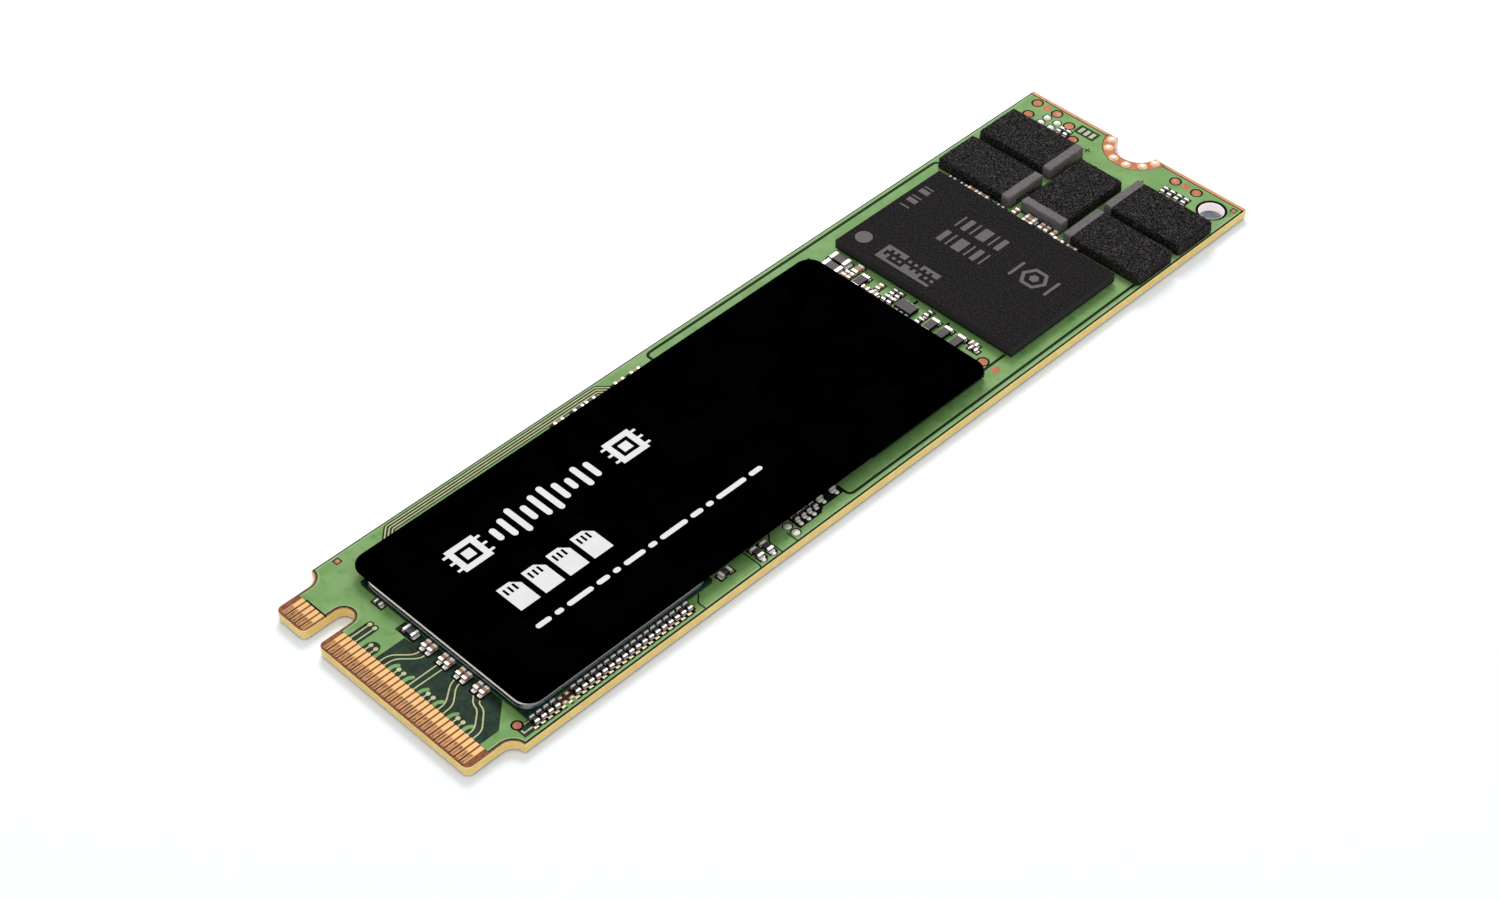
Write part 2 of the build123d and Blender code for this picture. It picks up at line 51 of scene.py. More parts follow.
def new_object(name, data):
    """A new object in the scene."""
    made = bpy.data.objects.new(name, data)
    bpy.context.scene.collection.objects.link(made)
    return made


def box_mm(node):
    """Lowest and highest corner of a CAD node."""
    low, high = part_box(node)
    return [value / MM for value in low], [value / MM for value in high]


HALF_WIDTH, LENGTH, TOP = box_mm("circuit_board")[1]

TONGUE_HALF = 9.925
TONGUE_CORNER = 0.5
SHOULDER_RADIUS = HALF_WIDTH - TONGUE_HALF
SHOULDER_Y = 4.0
KEY_X = -6.125
KEY_HALF = 0.8
KEY_END_Y = 2.8
KEY_MOUTH = 0.45
NOTCH_OVERHANG = 0.2
NOTCH_CENTRE = (0, LENGTH + NOTCH_OVERHANG)
NOTCH_RADIUS = 1.95
CORNER_HOLE = (9.15, 78.15)
CORNER_HOLE_RADIUS = 1.03
CORNER_HOLE_CLEARANCE = 0.23
PAD_RIM_RADIUS = 2.94
MASK_START_Y = 1.95
MASK_STEP = 0.14
FIRST_CONTACT_X = -9.1
CONTACT_PITCH = 0.5

# heights above the laminate
BARE = 0.003
OVER_LAMINATE = 0.012
OVER_COPPER = 0.045
SKIN_ROOT = 0.02


# ---- materials


STUDIO_GAIN = 1.3
WALL_GAIN = 0.84


def display(red, green, blue, gain=STUDIO_GAIN):
    """The reflectance that shows as a display colour, 0 to 255, where the light has that gain."""
    linear = []
    for value in (red, green, blue):
        share = value / 255
        light = share / 12.92 if share <= 0.04045 else ((share + 0.055) / 1.055) ** 2.4
        linear.append(min(light / gain, 0.95))
    return (*linear, 1.0)


class Look:
    """A procedural material: a principled surface with mottling, streaks and relief added to it."""

    def __init__(self, name, colour, roughness=0.6, metallic=0.0, specular=0.5):
        self.material = bpy.data.materials.new(name)
        self.material.use_nodes = True
        self.nodes = self.material.node_tree.nodes
        self.links = self.material.node_tree.links
        self.surface = self.nodes["Principled BSDF"]
        self.surface.inputs["Base Color"].default_value = colour
        self.surface.inputs["Roughness"].default_value = roughness
        self.surface.inputs["Metallic"].default_value = metallic
        self.surface.inputs["Specular IOR Level"].default_value = specular
        self.material.diffuse_color = colour
        self.colour = colour
        self.colour_socket = None

    def place(self, stretch=(1, 1, 1)):
        """Object coordinates, divided along each axis by how far the pattern is stretched."""
        where = self.nodes.new("ShaderNodeTexCoord")
        mapping = self.nodes.new("ShaderNodeMapping")
        mapping.inputs["Scale"].default_value = [1 / (MM * value) for value in stretch]
        self.links.new(where.outputs["Object"], mapping.inputs["Vector"])
        return mapping.outputs["Vector"]

    def noise(self, size, detail=2.0, stretch=(1, 1, 1)):
        """A fractal pattern whose largest patches are about size millimetres."""
        pattern = self.nodes.new("ShaderNodeTexNoise")
        pattern.inputs["Scale"].default_value = 1 / size
        pattern.inputs["Detail"].default_value = detail
        self.links.new(self.place(stretch), pattern.inputs["Vector"])
        return pattern.outputs["Fac"]

    def steps(self, socket, low, high):
        """Maps the range low to high of a value onto 0 to 1, smoothly."""
        ramp = self.nodes.new("ShaderNodeMapRange")
        ramp.interpolation_type = "SMOOTHSTEP"
        ramp.inputs["From Min"].default_value = low
        ramp.inputs["From Max"].default_value = high
        self.links.new(socket, ramp.inputs["Value"])
        return ramp.outputs["Result"]

    def component(self, output, axis):
        """One component of the object coordinates or of the normal."""
        where = self.nodes.new("ShaderNodeTexCoord")
        split = self.nodes.new("ShaderNodeSeparateXYZ")
        self.links.new(where.outputs[output], split.inputs["Vector"])
        return split.outputs[axis]

    def along(self, axis, low, high):
        """0 below one place on an axis and 1 above another, in millimetres."""
        return self.steps(self.component("Object", axis), low * MM, high * MM)

    def facing(self, axis, low, high):
        """0 to 1 as the surface turns towards the positive direction of an axis."""
        return self.steps(self.component("Normal", axis), low, high)

    def walls(self, low=0.2, high=0.7):
        """1 where the surface is upright and 0 where it faces up."""
        return self.inverse(self.facing("Z", low, high))

    def off_middle(self, value):
        """How far a value of 0 to 1 is from a half."""
        return self.maths("ABSOLUTE", self.maths("SUBTRACT", value, 0.5))

    def off_centre(self, pitch, phase):
        """Distance from the middle of stripes that repeat along X, as a share of their pitch."""
        pitches = self.times(self.component("Object", "X"), 1 / (pitch * MM))
        return self.off_middle(self.maths("FRACT", self.maths("ADD", pitches, phase)))

    def maths(self, operation, first, second=0):
        node = self.nodes.new("ShaderNodeMath")
        node.operation = operation
        for socket, value in zip(node.inputs, (first, second)):
            if isinstance(value, (int, float)):
                socket.default_value = value
            else:
                self.links.new(value, socket)
        return node.outputs["Value"]

    def times(self, first, second):
        return self.maths("MULTIPLY", first, second)

    def inverse(self, value):
        return self.maths("SUBTRACT", 1.0, value)

    def blend(self, colour, share):
        """Mixes another colour in where share, a socket or a number, is 1."""
        mix = self.nodes.new("ShaderNodeMix")
        mix.data_type = "RGBA"
        factor, first, second = mix.inputs[0], mix.inputs[6], mix.inputs[7]
        if self.colour_socket is None:
            first.default_value = self.colour
        else:
            self.links.new(self.colour_socket, first)
        second.default_value = colour
        if isinstance(share, (int, float)):
            factor.default_value = share
        else:
            self.links.new(share, factor)
        self.colour_socket = mix.outputs[2]
        self.links.new(self.colour_socket, self.surface.inputs["Base Color"])
        return self

    def tint(self, colour, share):
        """blend() with a display colour, and its gain where that isn't the studio's."""
        return self.blend(display(*colour), share)

    def glow(self, colour, strength):
        """Painted light: an even emission that lifts the surface, so that it stays bright where its
        surroundings shade it.
        """
        self.surface.inputs["Emission Color"].default_value = colour
        self.surface.inputs["Emission Strength"].default_value = strength
        return self

    def mottle(self, colour, size, low=0.4, high=0.65, detail=3.0, stretch=(1, 1, 1)):
        return self.tint(colour, self.steps(self.noise(size, detail, stretch), low, high))

    def relief(self, size, height, detail=2.0, stretch=(1, 1, 1)):
        bump = self.nodes.new("ShaderNodeBump")
        bump.inputs["Distance"].default_value = height * MM
        self.links.new(self.noise(size, detail, stretch), bump.inputs["Height"])
        self.links.new(bump.outputs["Normal"], self.surface.inputs["Normal"])
        return self


def make_looks():
    looks = {}

    def add(name, colour, *arguments, **named):
        looks[name] = Look(name, display(*colour), *arguments, **named)
        return looks[name]

    green = add("mask_over_copper", (128, 174, 100), 0.5, specular=0.12)
    green.mottle((146, 188, 118), 2.2, 0.35, 0.7).mottle((108, 160, 84), 0.9, 0.5, 0.8)
    green.relief(0.5, 0.01)
    add("mask_border", (152, 190, 122), 0.5, specular=0.12).mottle((166, 200, 140), 0.8)
    dark = add("mask_over_laminate", (34, 56, 42), 0.5, specular=0.08)
    dark.mottle((46, 70, 52), 0.6, 0.4, 0.7).mottle((24, 42, 32), 0.35, 0.5, 0.7).relief(0.4, 0.01)
    add("mask_in_gap", (20, 34, 25), 0.5, specular=0.05).mottle((34, 50, 36), 0.3, 0.5, 0.75)
    add("masked_trace", (208, 212, 154), 0.45, specular=0.12).mottle((222, 222, 172), 0.6)
    bare = add("bare_laminate", (166, 104, 74), 0.7, specular=0.1)
    bare.mottle((140, 82, 56), 0.22, 0.4, 0.65).mottle((190, 128, 92), 0.15, 0.6, 0.8)
    between = add("laminate_between_contacts", (96, 56, 36), 0.7, specular=0.1)
    between.mottle((124, 76, 50), 0.15, 0.4, 0.7)
    between.tint((156, 98, 62), between.along("Y", 0.95, 1.15))
    add("rim_laminate", (96, 78, 44), 0.7, specular=0.1).mottle((60, 52, 30), 0.3)
    add("opening", (19, 16, 14), 0.7, specular=0.05).mottle((36, 29, 23), 0.16, 0.5, 0.75)
    add("bare_ground", (112, 62, 42), 0.6, specular=0.1).mottle((84, 44, 30), 0.2)
    add("legend", (205, 210, 170), 0.6).mottle((170, 180, 130), 0.3)

    edge = add("laminate_edge", (222, 192, 122, WALL_GAIN), 0.75, specular=0.1)
    edge.mottle((214, 182, 110, WALL_GAIN), 0.2, 0.4, 0.7, stretch=(6, 6, 1))
    edge.mottle((228, 200, 132, WALL_GAIN), 0.8, 0.45, 0.75)
    edge.tint((242, 220, 160, WALL_GAIN), edge.along("Z", 0.68, 0.76))
    edge.tint((232, 208, 144, WALL_GAIN), edge.inverse(edge.along("Z", 0.08, 0.16)))

    for name, phase in (("worn_gold", 0.0), ("worn_gold_rear", 0.5)):
        gold = add(name, (242, 190, 122), 0.42, 0.2, specular=0.3)
        worn = gold.inverse(gold.along("Y", 0.95, 1.15))
        core = gold.inverse(gold.steps(gold.off_centre(0.5, phase), 0.2, 0.27))
        streaks = gold.steps(gold.noise(0.1, 3.0, (1, 4, 1)), 0.42, 0.6)
        gold.tint((222, 164, 98), gold.times(worn, 0.8))
        gold.tint((176, 112, 58), gold.times(worn, gold.times(core, 0.8)))
        gold.tint((92, 54, 28), gold.times(gold.times(worn, core), gold.times(streaks, 0.85)))
        gold.tint((150, 92, 60), gold.inverse(gold.along("Y", 0.14, 0.26)))
        gold.relief(0.12, 0.006, stretch=(1, 4, 1))

    copper = add("bare_copper", (206, 126, 84), 0.55, 0.1, specular=0.25)
    copper.mottle((180, 98, 60), 0.25, 0.45, 0.7).mottle((232, 168, 128), 0.5, 0.55, 0.75)
    # painted highlight: upright faces of the bare copper, such as the notch wall, are tinted pale
    # peach-white
    copper.tint((250, 226, 204), copper.walls()).relief(0.15, 0.01)
    strip = add("strip_copper", (214, 136, 86), 0.55, 0.1, specular=0.25)
    ragged = strip.times(strip.noise(0.3, 3.0), 0.1)
    inner = strip.maths("ADD", strip.along("Y", LENGTH - 0.2, LENGTH - 0.16), ragged)
    outer = strip.inverse(strip.along("Y", LENGTH - 0.14, LENGTH - 0.1))
    strip.tint((240, 196, 156), strip.times(strip.maths("ADD", inner, -0.05), outer))
    strip.mottle((180, 98, 58), 0.3, 0.55, 0.75)
    add("land_copper", (104, 58, 42), 0.6, 0.1, specular=0.1).mottle((138, 84, 58), 0.2, 0.5, 0.75)
    add("shaded_lead", (24, 20, 18), 0.7, specular=0.06).mottle((40, 29, 24), 0.25, 0.5, 0.7)
    add("solder", (250, 246, 240, 1.0), 0.45, 0.25).mottle((236, 228, 220, 1.0), 0.15, 0.5, 0.75)
    add("gilded_land", (236, 222, 176), 0.4, 0.3).mottle((206, 182, 132), 0.12, 0.5, 0.75)
    add("gilded_rim", (240, 178, 110), 0.4, 0.2).mottle((222, 150, 84), 0.12, 0.5, 0.75)
    tin = add("tin_plating", (250, 246, 240, 1.0), 0.4, 0.3)
    tin.mottle((232, 226, 218, 1.0), 0.12, 0.45, 0.7)
    # painted reflection and shade: upright faces of the tin ends are tinted dark grey-brown
    tin.tint((74, 66, 60), tin.walls(0.25, 0.75))
    # painted light: a faint emission keeps the tin ends bright where the lid and the label shade them
    tin.glow((1.0, 0.97, 0.92, 1), 0.13)
    barrel = add("hole_plating", (244, 232, 230, 0.92), 0.4, 0.3)
    # painted light: the barrel wall glows so that it shows near-white inside the hole
    barrel.mottle((238, 224, 222, 0.92), 0.5).glow((1.0, 0.93, 0.92, 1), 0.35)

    add("package_substrate", (18, 50, 44), 0.55, specular=0.1).mottle((12, 34, 30), 0.4)
    add("underfill", (76, 104, 60, WALL_GAIN), 0.6, specular=0.1).mottle((60, 88, 48, WALL_GAIN), 0.5)
    add("silicon", (120, 124, 134), 0.2, 0.6).mottle((104, 110, 124), 0.4)
    add("thermal_compound", (150, 150, 152), 0.8).mottle((130, 130, 132), 0.2)
    lid = add("nickel_lid", (158, 170, 176, WALL_GAIN), 0.4, 0.2, specular=0.3)
    lid.mottle((140, 150, 158, WALL_GAIN), 0.4)
    front = lid.inverse(lid.facing("Y", -0.75, -0.2))
    # painted reflection and highlight: the lid's front wall is tinted near-black and its rounded front
    # top edge cream-white
    lid.tint((20, 20, 22), lid.times(front, lid.walls(0.0, 0.12)))
    lid.tint((252, 240, 220, 1.0), lid.times(front, lid.facing("Z", 0.05, 0.2)))
    # painted light and shade: walls facing +X are tinted grey, and dark teal below their top part
    lid.tint((152, 149, 152, WALL_GAIN), lid.facing("X", 0.3, 0.7))
    lid_top = box_mm("controller_lid")[1][2]
    shaded = lid.inverse(lid.along("Z", lid_top - 0.34, lid_top - 0.26))
    lid.tint((26, 34, 34), lid.times(lid.facing("X", 0.75, 0.95), shaded))
    lid.relief(0.2, 0.002)

    mould = add("package_mould", (33, 31, 31), 0.8, specular=0.04)
    mould.mottle((66, 62, 62), 0.12, 0.5, 0.68).mottle((20, 18, 18), 0.18, 0.5, 0.7)
    # painted light: upright faces of the mould are tinted a lighter grey than its top
    mould.tint((62, 57, 58, WALL_GAIN), mould.times(mould.walls(), 0.6)).relief(0.12, 0.03)
    small = add("small_package_mould", (104, 98, 100), 0.7, specular=0.1)
    # painted shade: upright faces of the small packages are tinted near-black
    small.mottle((116, 110, 112), 0.1).tint((24, 22, 23), small.walls()).relief(0.1, 0.006)
    case = add("capacitor_mould", (9, 8, 8), 0.7, specular=0.06)
    # painted light: upright faces of the capacitor cases are tinted a lighter grey than their tops
    case.tint((30, 28, 28, WALL_GAIN), case.times(case.walls(), 0.5))
    ridges = case.steps(case.off_middle(case.noise(0.2, 0.0)), 0.02, 0.09)
    case.tint((76, 72, 71), case.inverse(ridges)).relief(0.2, 0.04)
    band = add("polarity_band", (122, 116, 117), 0.75, specular=0.1)
    band.mottle((104, 98, 99), 0.15, 0.45, 0.7).mottle((140, 133, 134), 0.1, 0.5, 0.75)
    band.relief(0.08, 0.01)
    add("capacitor_ceramic", (214, 172, 132), 0.5, specular=0.2).mottle((184, 138, 100), 0.12)
    glaze = add("resistor_glaze", (94, 86, 89), 0.45, specular=0.2)
    # painted shade: upright faces of the resistor bodies are tinted near-black
    glaze.mottle((74, 67, 70), 0.12).tint((20, 18, 18), glaze.walls())
    ferrite = add("ferrite", (112, 104, 107), 0.6, specular=0.1)
    # painted shade: upright faces of the ferrite bodies are tinted near-black
    ferrite.mottle((98, 91, 94), 0.12).tint((30, 27, 27), ferrite.walls())
    add("crystal_ceramic", (140, 116, 92), 0.6).mottle((120, 98, 76), 0.15)

    add("label_film", (0, 0, 0), 0.9, specular=0.0).mottle((3, 3, 3), 3.0)
    add("label_print", (255, 255, 255), 0.7, specular=0.1).mottle((250, 250, 250), 1.0)
    add("package_print", (122, 115, 115), 0.8, specular=0.05).mottle((100, 94, 94), 0.1, 0.5, 0.7)
    add("rear_label_film", (232, 232, 230), 0.6).mottle((222, 222, 221), 2.0)
    add("rear_label_print", (48, 48, 50), 0.6).mottle((64, 64, 66), 0.5)
    return {name: look.material for name, look in looks.items()}


LOOKS = make_looks()


# ---- shapes in the plane of the card


def arc(centre, radius, start, end, count=12):
    """Points on a circle between two angles in degrees."""
    angles = [math.radians(start + (end - start) * step / count) for step in range(count + 1)]
    return [(centre[0] + radius * math.cos(a), centre[1] + radius * math.sin(a)) for a in angles]


def disc(centre, radius, count=20):
    return arc(centre, radius, 0, 360 * (count - 1) / count, count - 1)


def rectangle(x_low, x_high, y_low, y_high):
    return [(x_low, y_low), (x_high, y_low), (x_high, y_high), (x_low, y_high)]


def rounded_path(points, radius, count=5):
    """The same path with its corners turned into curves that start at most radius before them."""
    path = [points[0]]
    for before, corner, after in zip(points, points[1:], points[2:]):
        here = Vector(corner)
        inward = Vector(before) - here
        outward = Vector(after) - here
        first = here + inward.normalized() * min(radius, inward.length * 0.49)
        last = here + outward.normalized() * min(radius, outward.length * 0.49)
        for step in range(count + 1):
            t = step / count
            bent = first * (1 - t) ** 2 + here * 2 * t * (1 - t) + last * t**2
            path.append((bent.x, bent.y))
    path.append(points[-1])
    return path


def stroke(points, width, radius=0.0, round_ends=True):
    """The outline of a line of even width along a path, going round it anticlockwise."""
    path = [Vector(p) for p in (rounded_path(points, radius) if radius else points)]
    half = width / 2
    right = []
    left = []
    for index, point in enumerate(path):
        before = path[max(index - 1, 0)]
        after = path[min(index + 1, len(path) - 1)]
        inward = (point - before).normalized() if index else (after - point).normalized()
        outward = (after - point).normalized() if index < len(path) - 1 else inward
        side = Vector((inward.y + outward.y, -inward.x - outward.x)).normalized()
        reach = half / max(side.dot(Vector((inward.y, -inward.x))), 0.4)
        right.append(tuple(point + side * reach))
        left.append(tuple(point - side * reach))
    if not round_ends:
        return right + left[::-1]
    start_way = path[1] - path[0]
    end_way = path[-1] - path[-2]
    start = math.degrees(math.atan2(start_way.y, start_way.x))
    end = math.degrees(math.atan2(end_way.y, end_way.x))
    head = arc(path[-1], half, end - 90, end + 90, 6)
    tail = arc(path[0], half, start + 90, start + 270, 6)
    return right[1:-1] + head + left[1:-1][::-1] + tail


def card_outline(body_inset, tongue_inset):
    """The card's outline, drawn in by one distance round the body and another round the tongue."""
    d, t = body_inset, tongue_inset
    side = HALF_WIDTH - d
    tongue = TONGUE_HALF - t
    corner = TONGUE_CORNER
    shoulder_y = SHOULDER_Y - SHOULDER_RADIUS
    shoulder = SHOULDER_RADIUS + t
    lean = math.degrees(math.acos(-d / shoulder))
    key = KEY_HALF + t
    notch = NOTCH_RADIUS + d
    dip = math.degrees(math.asin((d + NOTCH_OVERHANG) / notch))
    mouth = KEY_HALF + KEY_MOUTH
    loop = arc((corner - TONGUE_HALF, corner), corner - t, 180, 270, 6)
    loop += arc((KEY_X - mouth, KEY_MOUTH), KEY_MOUTH - t, 270, 360, 6)
    loop += arc((KEY_X, KEY_END_Y), key, 180, 0, 16)
    loop += arc((KEY_X + mouth, KEY_MOUTH), KEY_MOUTH - t, 180, 270, 6)
    loop += arc((TONGUE_HALF - corner, corner), corner - t, 270, 360, 6)
    loop += [(tongue, shoulder_y)] + arc((HALF_WIDTH, shoulder_y), shoulder, 180, lean, 12)[1:]
    loop += [(side, LENGTH - d)]
    loop += arc(NOTCH_CENTRE, notch, -dip, dip - 180, 28)
    loop += [(-side, LENGTH - d)]
    loop += arc((-HALF_WIDTH, shoulder_y), shoulder, 180 - lean, 0, 12)[:-1] + [(-tongue, shoulder_y)]
    return loop


# ---- meshes


def new_mesh(name, vertices, faces, materials, indices=None, smooth=False):
    """A named piece that rides on the card; vertices are in millimetres."""
    mesh = bpy.data.meshes.new(name)
    mesh.from_pydata([(x * MM, y * MM, z * MM) for x, y, z in vertices], [], faces)
    for material in materials:
        mesh.materials.append(LOOKS[material])
    if indices:
        mesh.polygons.foreach_set("material_index", indices)
    mesh.polygons.foreach_set("use_smooth", [smooth] * len(mesh.polygons))
    mesh.update()
    piece = new_object(name, mesh)
    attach(piece, "root")
    return piece


def overlay(shapes, within=None):
    """Cuts the plane along every loop; gives points, and triangles with the last shape over each."""
    loops = ([("", within)] if within else []) + shapes
    points = []
    loop_faces = []
    for _, loop in loops:
        first = len(points)
        points += [Vector(point) for point in loop]
        loop_faces.append(list(range(first, len(points))))
    found = delaunay_2d_cdt(points, [], loop_faces, 1, 1e-5, True)
    triangles = []
    for face, covering in zip(found[2], found[5]):
        if not covering or (within and 0 not in covering):
            continue
        kind = loops[max(covering)][0]
        if kind:
            triangles.append((tuple(face), kind))
    return [(point.x, point.y) for point in found[0]], triangles


def layered_piece(name, shapes, kinds, base, facing=1, root=SKIN_ROOT, within=None):
    """A closed sheet whose height and material change from shape to shape.

    kinds gives each kind of shape its height over base and its material; a later shape covers an
    earlier one, and a kind that is missing from kinds is a hole. facing -1 builds it downwards.
    """
    points, triangles = overlay(shapes, within)
    triangles = [(face, kind) for face, kind in triangles if kind in kinds]
    materials = sorted({kinds[kind][1] for _, kind in triangles})
    vertices = []
    placed = {}
    faces = []
    indices = []

    def vertex(point, height):
        key = (point, height)
        if key not in placed:
            placed[key] = len(vertices)
            vertices.append((*points[point], base + facing * height))
        return placed[key]

    def add(face, kind):
        faces.append(face if facing > 0 else face[::-1])
        indices.append(materials.index(kinds[kind][1]))

    sides = {}
    for face, kind in triangles:
        for start, end in zip(face, face[1:] + face[:1]):
            sides[(start, end)] = kind
    for face, kind in triangles:
        height = kinds[kind][0]
        add(tuple(vertex(point, height) for point in face), kind)
        add(tuple(vertex(point, -root) for point in reversed(face)), kind)
        for start, end in zip(face, face[1:] + face[:1]):
            other = sides.get((end, start))
            lower = kinds[other][0] if other else -root
            if lower < height:
                below = (vertex(start, lower), vertex(end, lower))
                add((*below, vertex(end, height), vertex(start, height)), kind)
    return new_mesh(name, vertices, faces, materials, indices)


def solids_of(node):
    """Low and high corner of each separate solid of a CAD node, in millimetres."""
    mesh = NODES[node].data
    where = {}
    leader = []

    def find(item):
        while leader[item] != item:
            leader[item] = leader[leader[item]]
            item = leader[item]
        return item

    ids = []
    for vertex in mesh.vertices:
        key = tuple(round(value / MM, 4) for value in vertex.co)
        if key not in where:
            where[key] = len(leader)
            leader.append(len(leader))
        ids.append(where[key])
    for polygon in mesh.polygons:
        first = find(ids[polygon.vertices[0]])
        for index in polygon.vertices[1:]:
            leader[find(ids[index])] = first
    groups = {}
    for key, item in where.items():
        groups.setdefault(find(item), []).append(key)
    boxes = []
    for corners in groups.values():
        low = [min(corner[axis] for corner in corners) for axis in range(3)]
        high = [max(corner[axis] for corner in corners) for axis in range(3)]
        boxes.append((low, high))
    return sorted(boxes)


def middle(box):
    return ((box[0][0] + box[1][0]) / 2, (box[0][1] + box[1][1]) / 2)


def grown(box, margin):
    (x_low, y_low, _), (x_high, y_high, _) = box
    return rectangle(x_low - margin, x_high + margin, y_low - margin, y_high + margin)


# ---- chips: where their ends are

FILLET_REACH = {
    "coupling_capacitor": 0.22,
    "termination_resistor": 0.05,
    "decoupling_capacitor": 0.15,
    "setting_resistor": 0.15,
    "sense_resistor": 0.2,
    "ferrite_bead": 0.16,
}


def chip_ends():
    """Every metal end of every chip: its box, the way out from the chip, and its solder's reach."""
    ends = []
    for group, reach in FILLET_REACH.items():
        bodies = [middle(box) for box in solids_of(f"{group}_bodies")]
        for box in solids_of(f"{group}_ends"):
            centre = Vector(middle(box))
            body = min(bodies, key=lambda place: (Vector(place) - centre).length)
            out = centre - Vector(body)
            if abs(out.x) > abs(out.y):
                way = (math.copysign(1, out.x), 0)
            else:
                way = (0, math.copysign(1, out.y))
            ends.append((box, way, reach))
    return ends


CHIP_ENDS = chip_ends()
LAND_MARGIN = 0.04
OPENING_MARGIN = 0.14


def land_loop(box, way, reach, margin):
    """The land under a chip end, longer than it by reach on the outer side."""
    (x_low, y_low, _), (x_high, y_high, _) = box
    return rectangle(
        x_low - margin - (reach if way[0] < 0 else 0),
        x_high + margin + (reach if way[0] > 0 else 0),
        y_low - margin - (reach if way[1] < 0 else 0),
        y_high + margin + (reach if way[1] > 0 else 0),
    )


def solder_fillets():
    """Concave solder from each chip end down to its land."""
    vertices = []
    faces = []
    profile = ((0.0, 0.32), (0.12, 0.2), (0.3, 0.12), (0.6, 0.1), (1.0, 0.08))
    for box, way, reach in CHIP_ENDS:
        (x_low, y_low, z_low), (x_high, y_high, z_high) = box
        centre = middle(box)
        half_length = ((x_high - x_low) if way[0] else (y_high - y_low)) / 2
        half_width = ((y_high - y_low) if way[0] else (x_high - x_low)) / 2
        across = (-way[1], way[0])
        first = len(vertices)
        for out, rise in profile:
            along = half_length - 0.01 + out * reach
            width = half_width * (1.0 - 0.12 * out)
            for side in (-1, 1):
                x = centre[0] + way[0] * along + across[0] * side * width
                y = centre[1] + way[1] * along + across[1] * side * width
                vertices.append((x, y, TOP))
                vertices.append((x, y, TOP + max(rise * (z_high - z_low), 0.05)))
        for step in range(len(profile) - 1):
            a = first + 4 * step
            b = a + 4
            faces += [(a + 1, b + 1, b + 3, a + 3), (a, a + 2, b + 2, b)]
            faces += [(a, b, b + 1, a + 1), (a + 2, a + 3, b + 3, b + 2)]
        last = first + 4 * (len(profile) - 1)
        faces += [(first, first + 1, first + 3, first + 2), (last, last + 2, last + 3, last + 1)]
    new_mesh("solder_fillets", vertices, faces, ["solder"])


def chip_lands():
    shapes = [("land", land_loop(box, way, reach * 0.7, LAND_MARGIN)) for box, way, reach in CHIP_ENDS]
    layered_piece("chip_lands", shapes, {"land": (0.04, "land_copper")}, TOP)


# ---- copper pattern on the component side

TRACE = 0.1
THIN_GAP = 0.12
DOT = 0.17

KEYHOLES = ((-4.25, 3.65), (-3.75, 3.65))
ARCH_DOTS = ((-2.75, 2.5), (-2.25, 2.5))
DOG_BONES = (0.25, 0.75, 3.25, 3.75, 6.25, 6.75)
DOG_BONE_Y = 2.42
GROUND_TABS = (-0.25, 1.25, 2.75, 4.25, 5.75, 7.25)
PAIR_TRACES = (
    ((0.0, 4.7), (0.0, 4.0), (-1.2, 2.8), (-1.25, 1.9)),
    ((0.55, 4.7), (0.5, 4.0), (-0.7, 2.8), (-0.75, 1.9)),
    ((1.75, 4.7), (1.75, 1.9)),
    ((2.3, 4.7), (2.25, 1.9)),
    ((3.5, 4.7), (3.65, 4.0), (4.7, 2.7), (4.75, 1.9)),
    ((4.05, 4.7), (4.1, 4.1), (5.2, 2.9), (5.25, 1.9)),
    ((5.25, 4.7), (5.5, 4.4), (6.0, 3.9), (6.6, 3.8), (7.7, 2.6), (7.75, 1.9)),
    ((5.85, 4.7), (6.15, 4.4), (6.3, 4.2), (6.9, 4.1), (8.2, 2.8), (8.25, 1.9)),
)
DARK_FAN_OUT = (
    (-1.65, 1.9),
    (8.95, 1.9),
    (8.95, 3.6),
    (7.0, 5.65),
    (-0.9, 5.65),
    (-0.9, 4.55),
    (-1.65, 4.5),
)


def fan_out_shapes():
    """The contact pairs' routing between the tongue and the controller."""
    shapes = [("dark", DARK_FAN_OUT), ("dark", rectangle(-2.75, -0.9, 4.55, 5.75))]
    for x, y in KEYHOLES:
        shapes.append(("dark", stroke(((x, 1.8), (x, y)), 0.58)))
    shapes.append(("dark", stroke(((-2.5, 1.8), (-2.5, 2.4)), 1.14)))
    for x, y in KEYHOLES + ARCH_DOTS + tuple((x, DOG_BONE_Y) for x in DOG_BONES):
        shapes.append(("trace", stroke(((x, 1.8), (x, y)), TRACE, round_ends=False)))
        shapes.append(("trace", disc((x, y), DOT, 14)))
    for x in GROUND_TABS:
        shapes.append(("pour", stroke(((x, 1.8), (x, 2.35), (x + 0.2, 2.62)), 0.3, 0.2)))
    for points in PAIR_TRACES:
        shapes.append(("trace", stroke(points, TRACE, 0.45)))
    return shapes


LEFT_TRACE_X = (-10.58, -10.33, -10.08)
LEFT_TRACE_Y = (10.3, 30.2)
UNDER_LABEL_X = -8.6


def bundle_shapes():
    """Three traces along the left edge that turn in under the label at both ends."""
    low, high = LEFT_TRACE_Y

    def run(x, width, shift):
        inward = UNDER_LABEL_X - x
        points = (
            (UNDER_LABEL_X, low + shift - inward),
            (x, low + shift),
            (x, high - shift),
            (UNDER_LABEL_X, high - shift + inward),
        )
        return stroke(points, width, 0.1)

    shapes = [("dark", run(sum(LEFT_TRACE_X) / 3, 0.84, 0.1))]
    for order, x in enumerate(LEFT_TRACE_X):
        shapes.append(("trace", run(x, TRACE, 0.1 * order)))
    return shapes


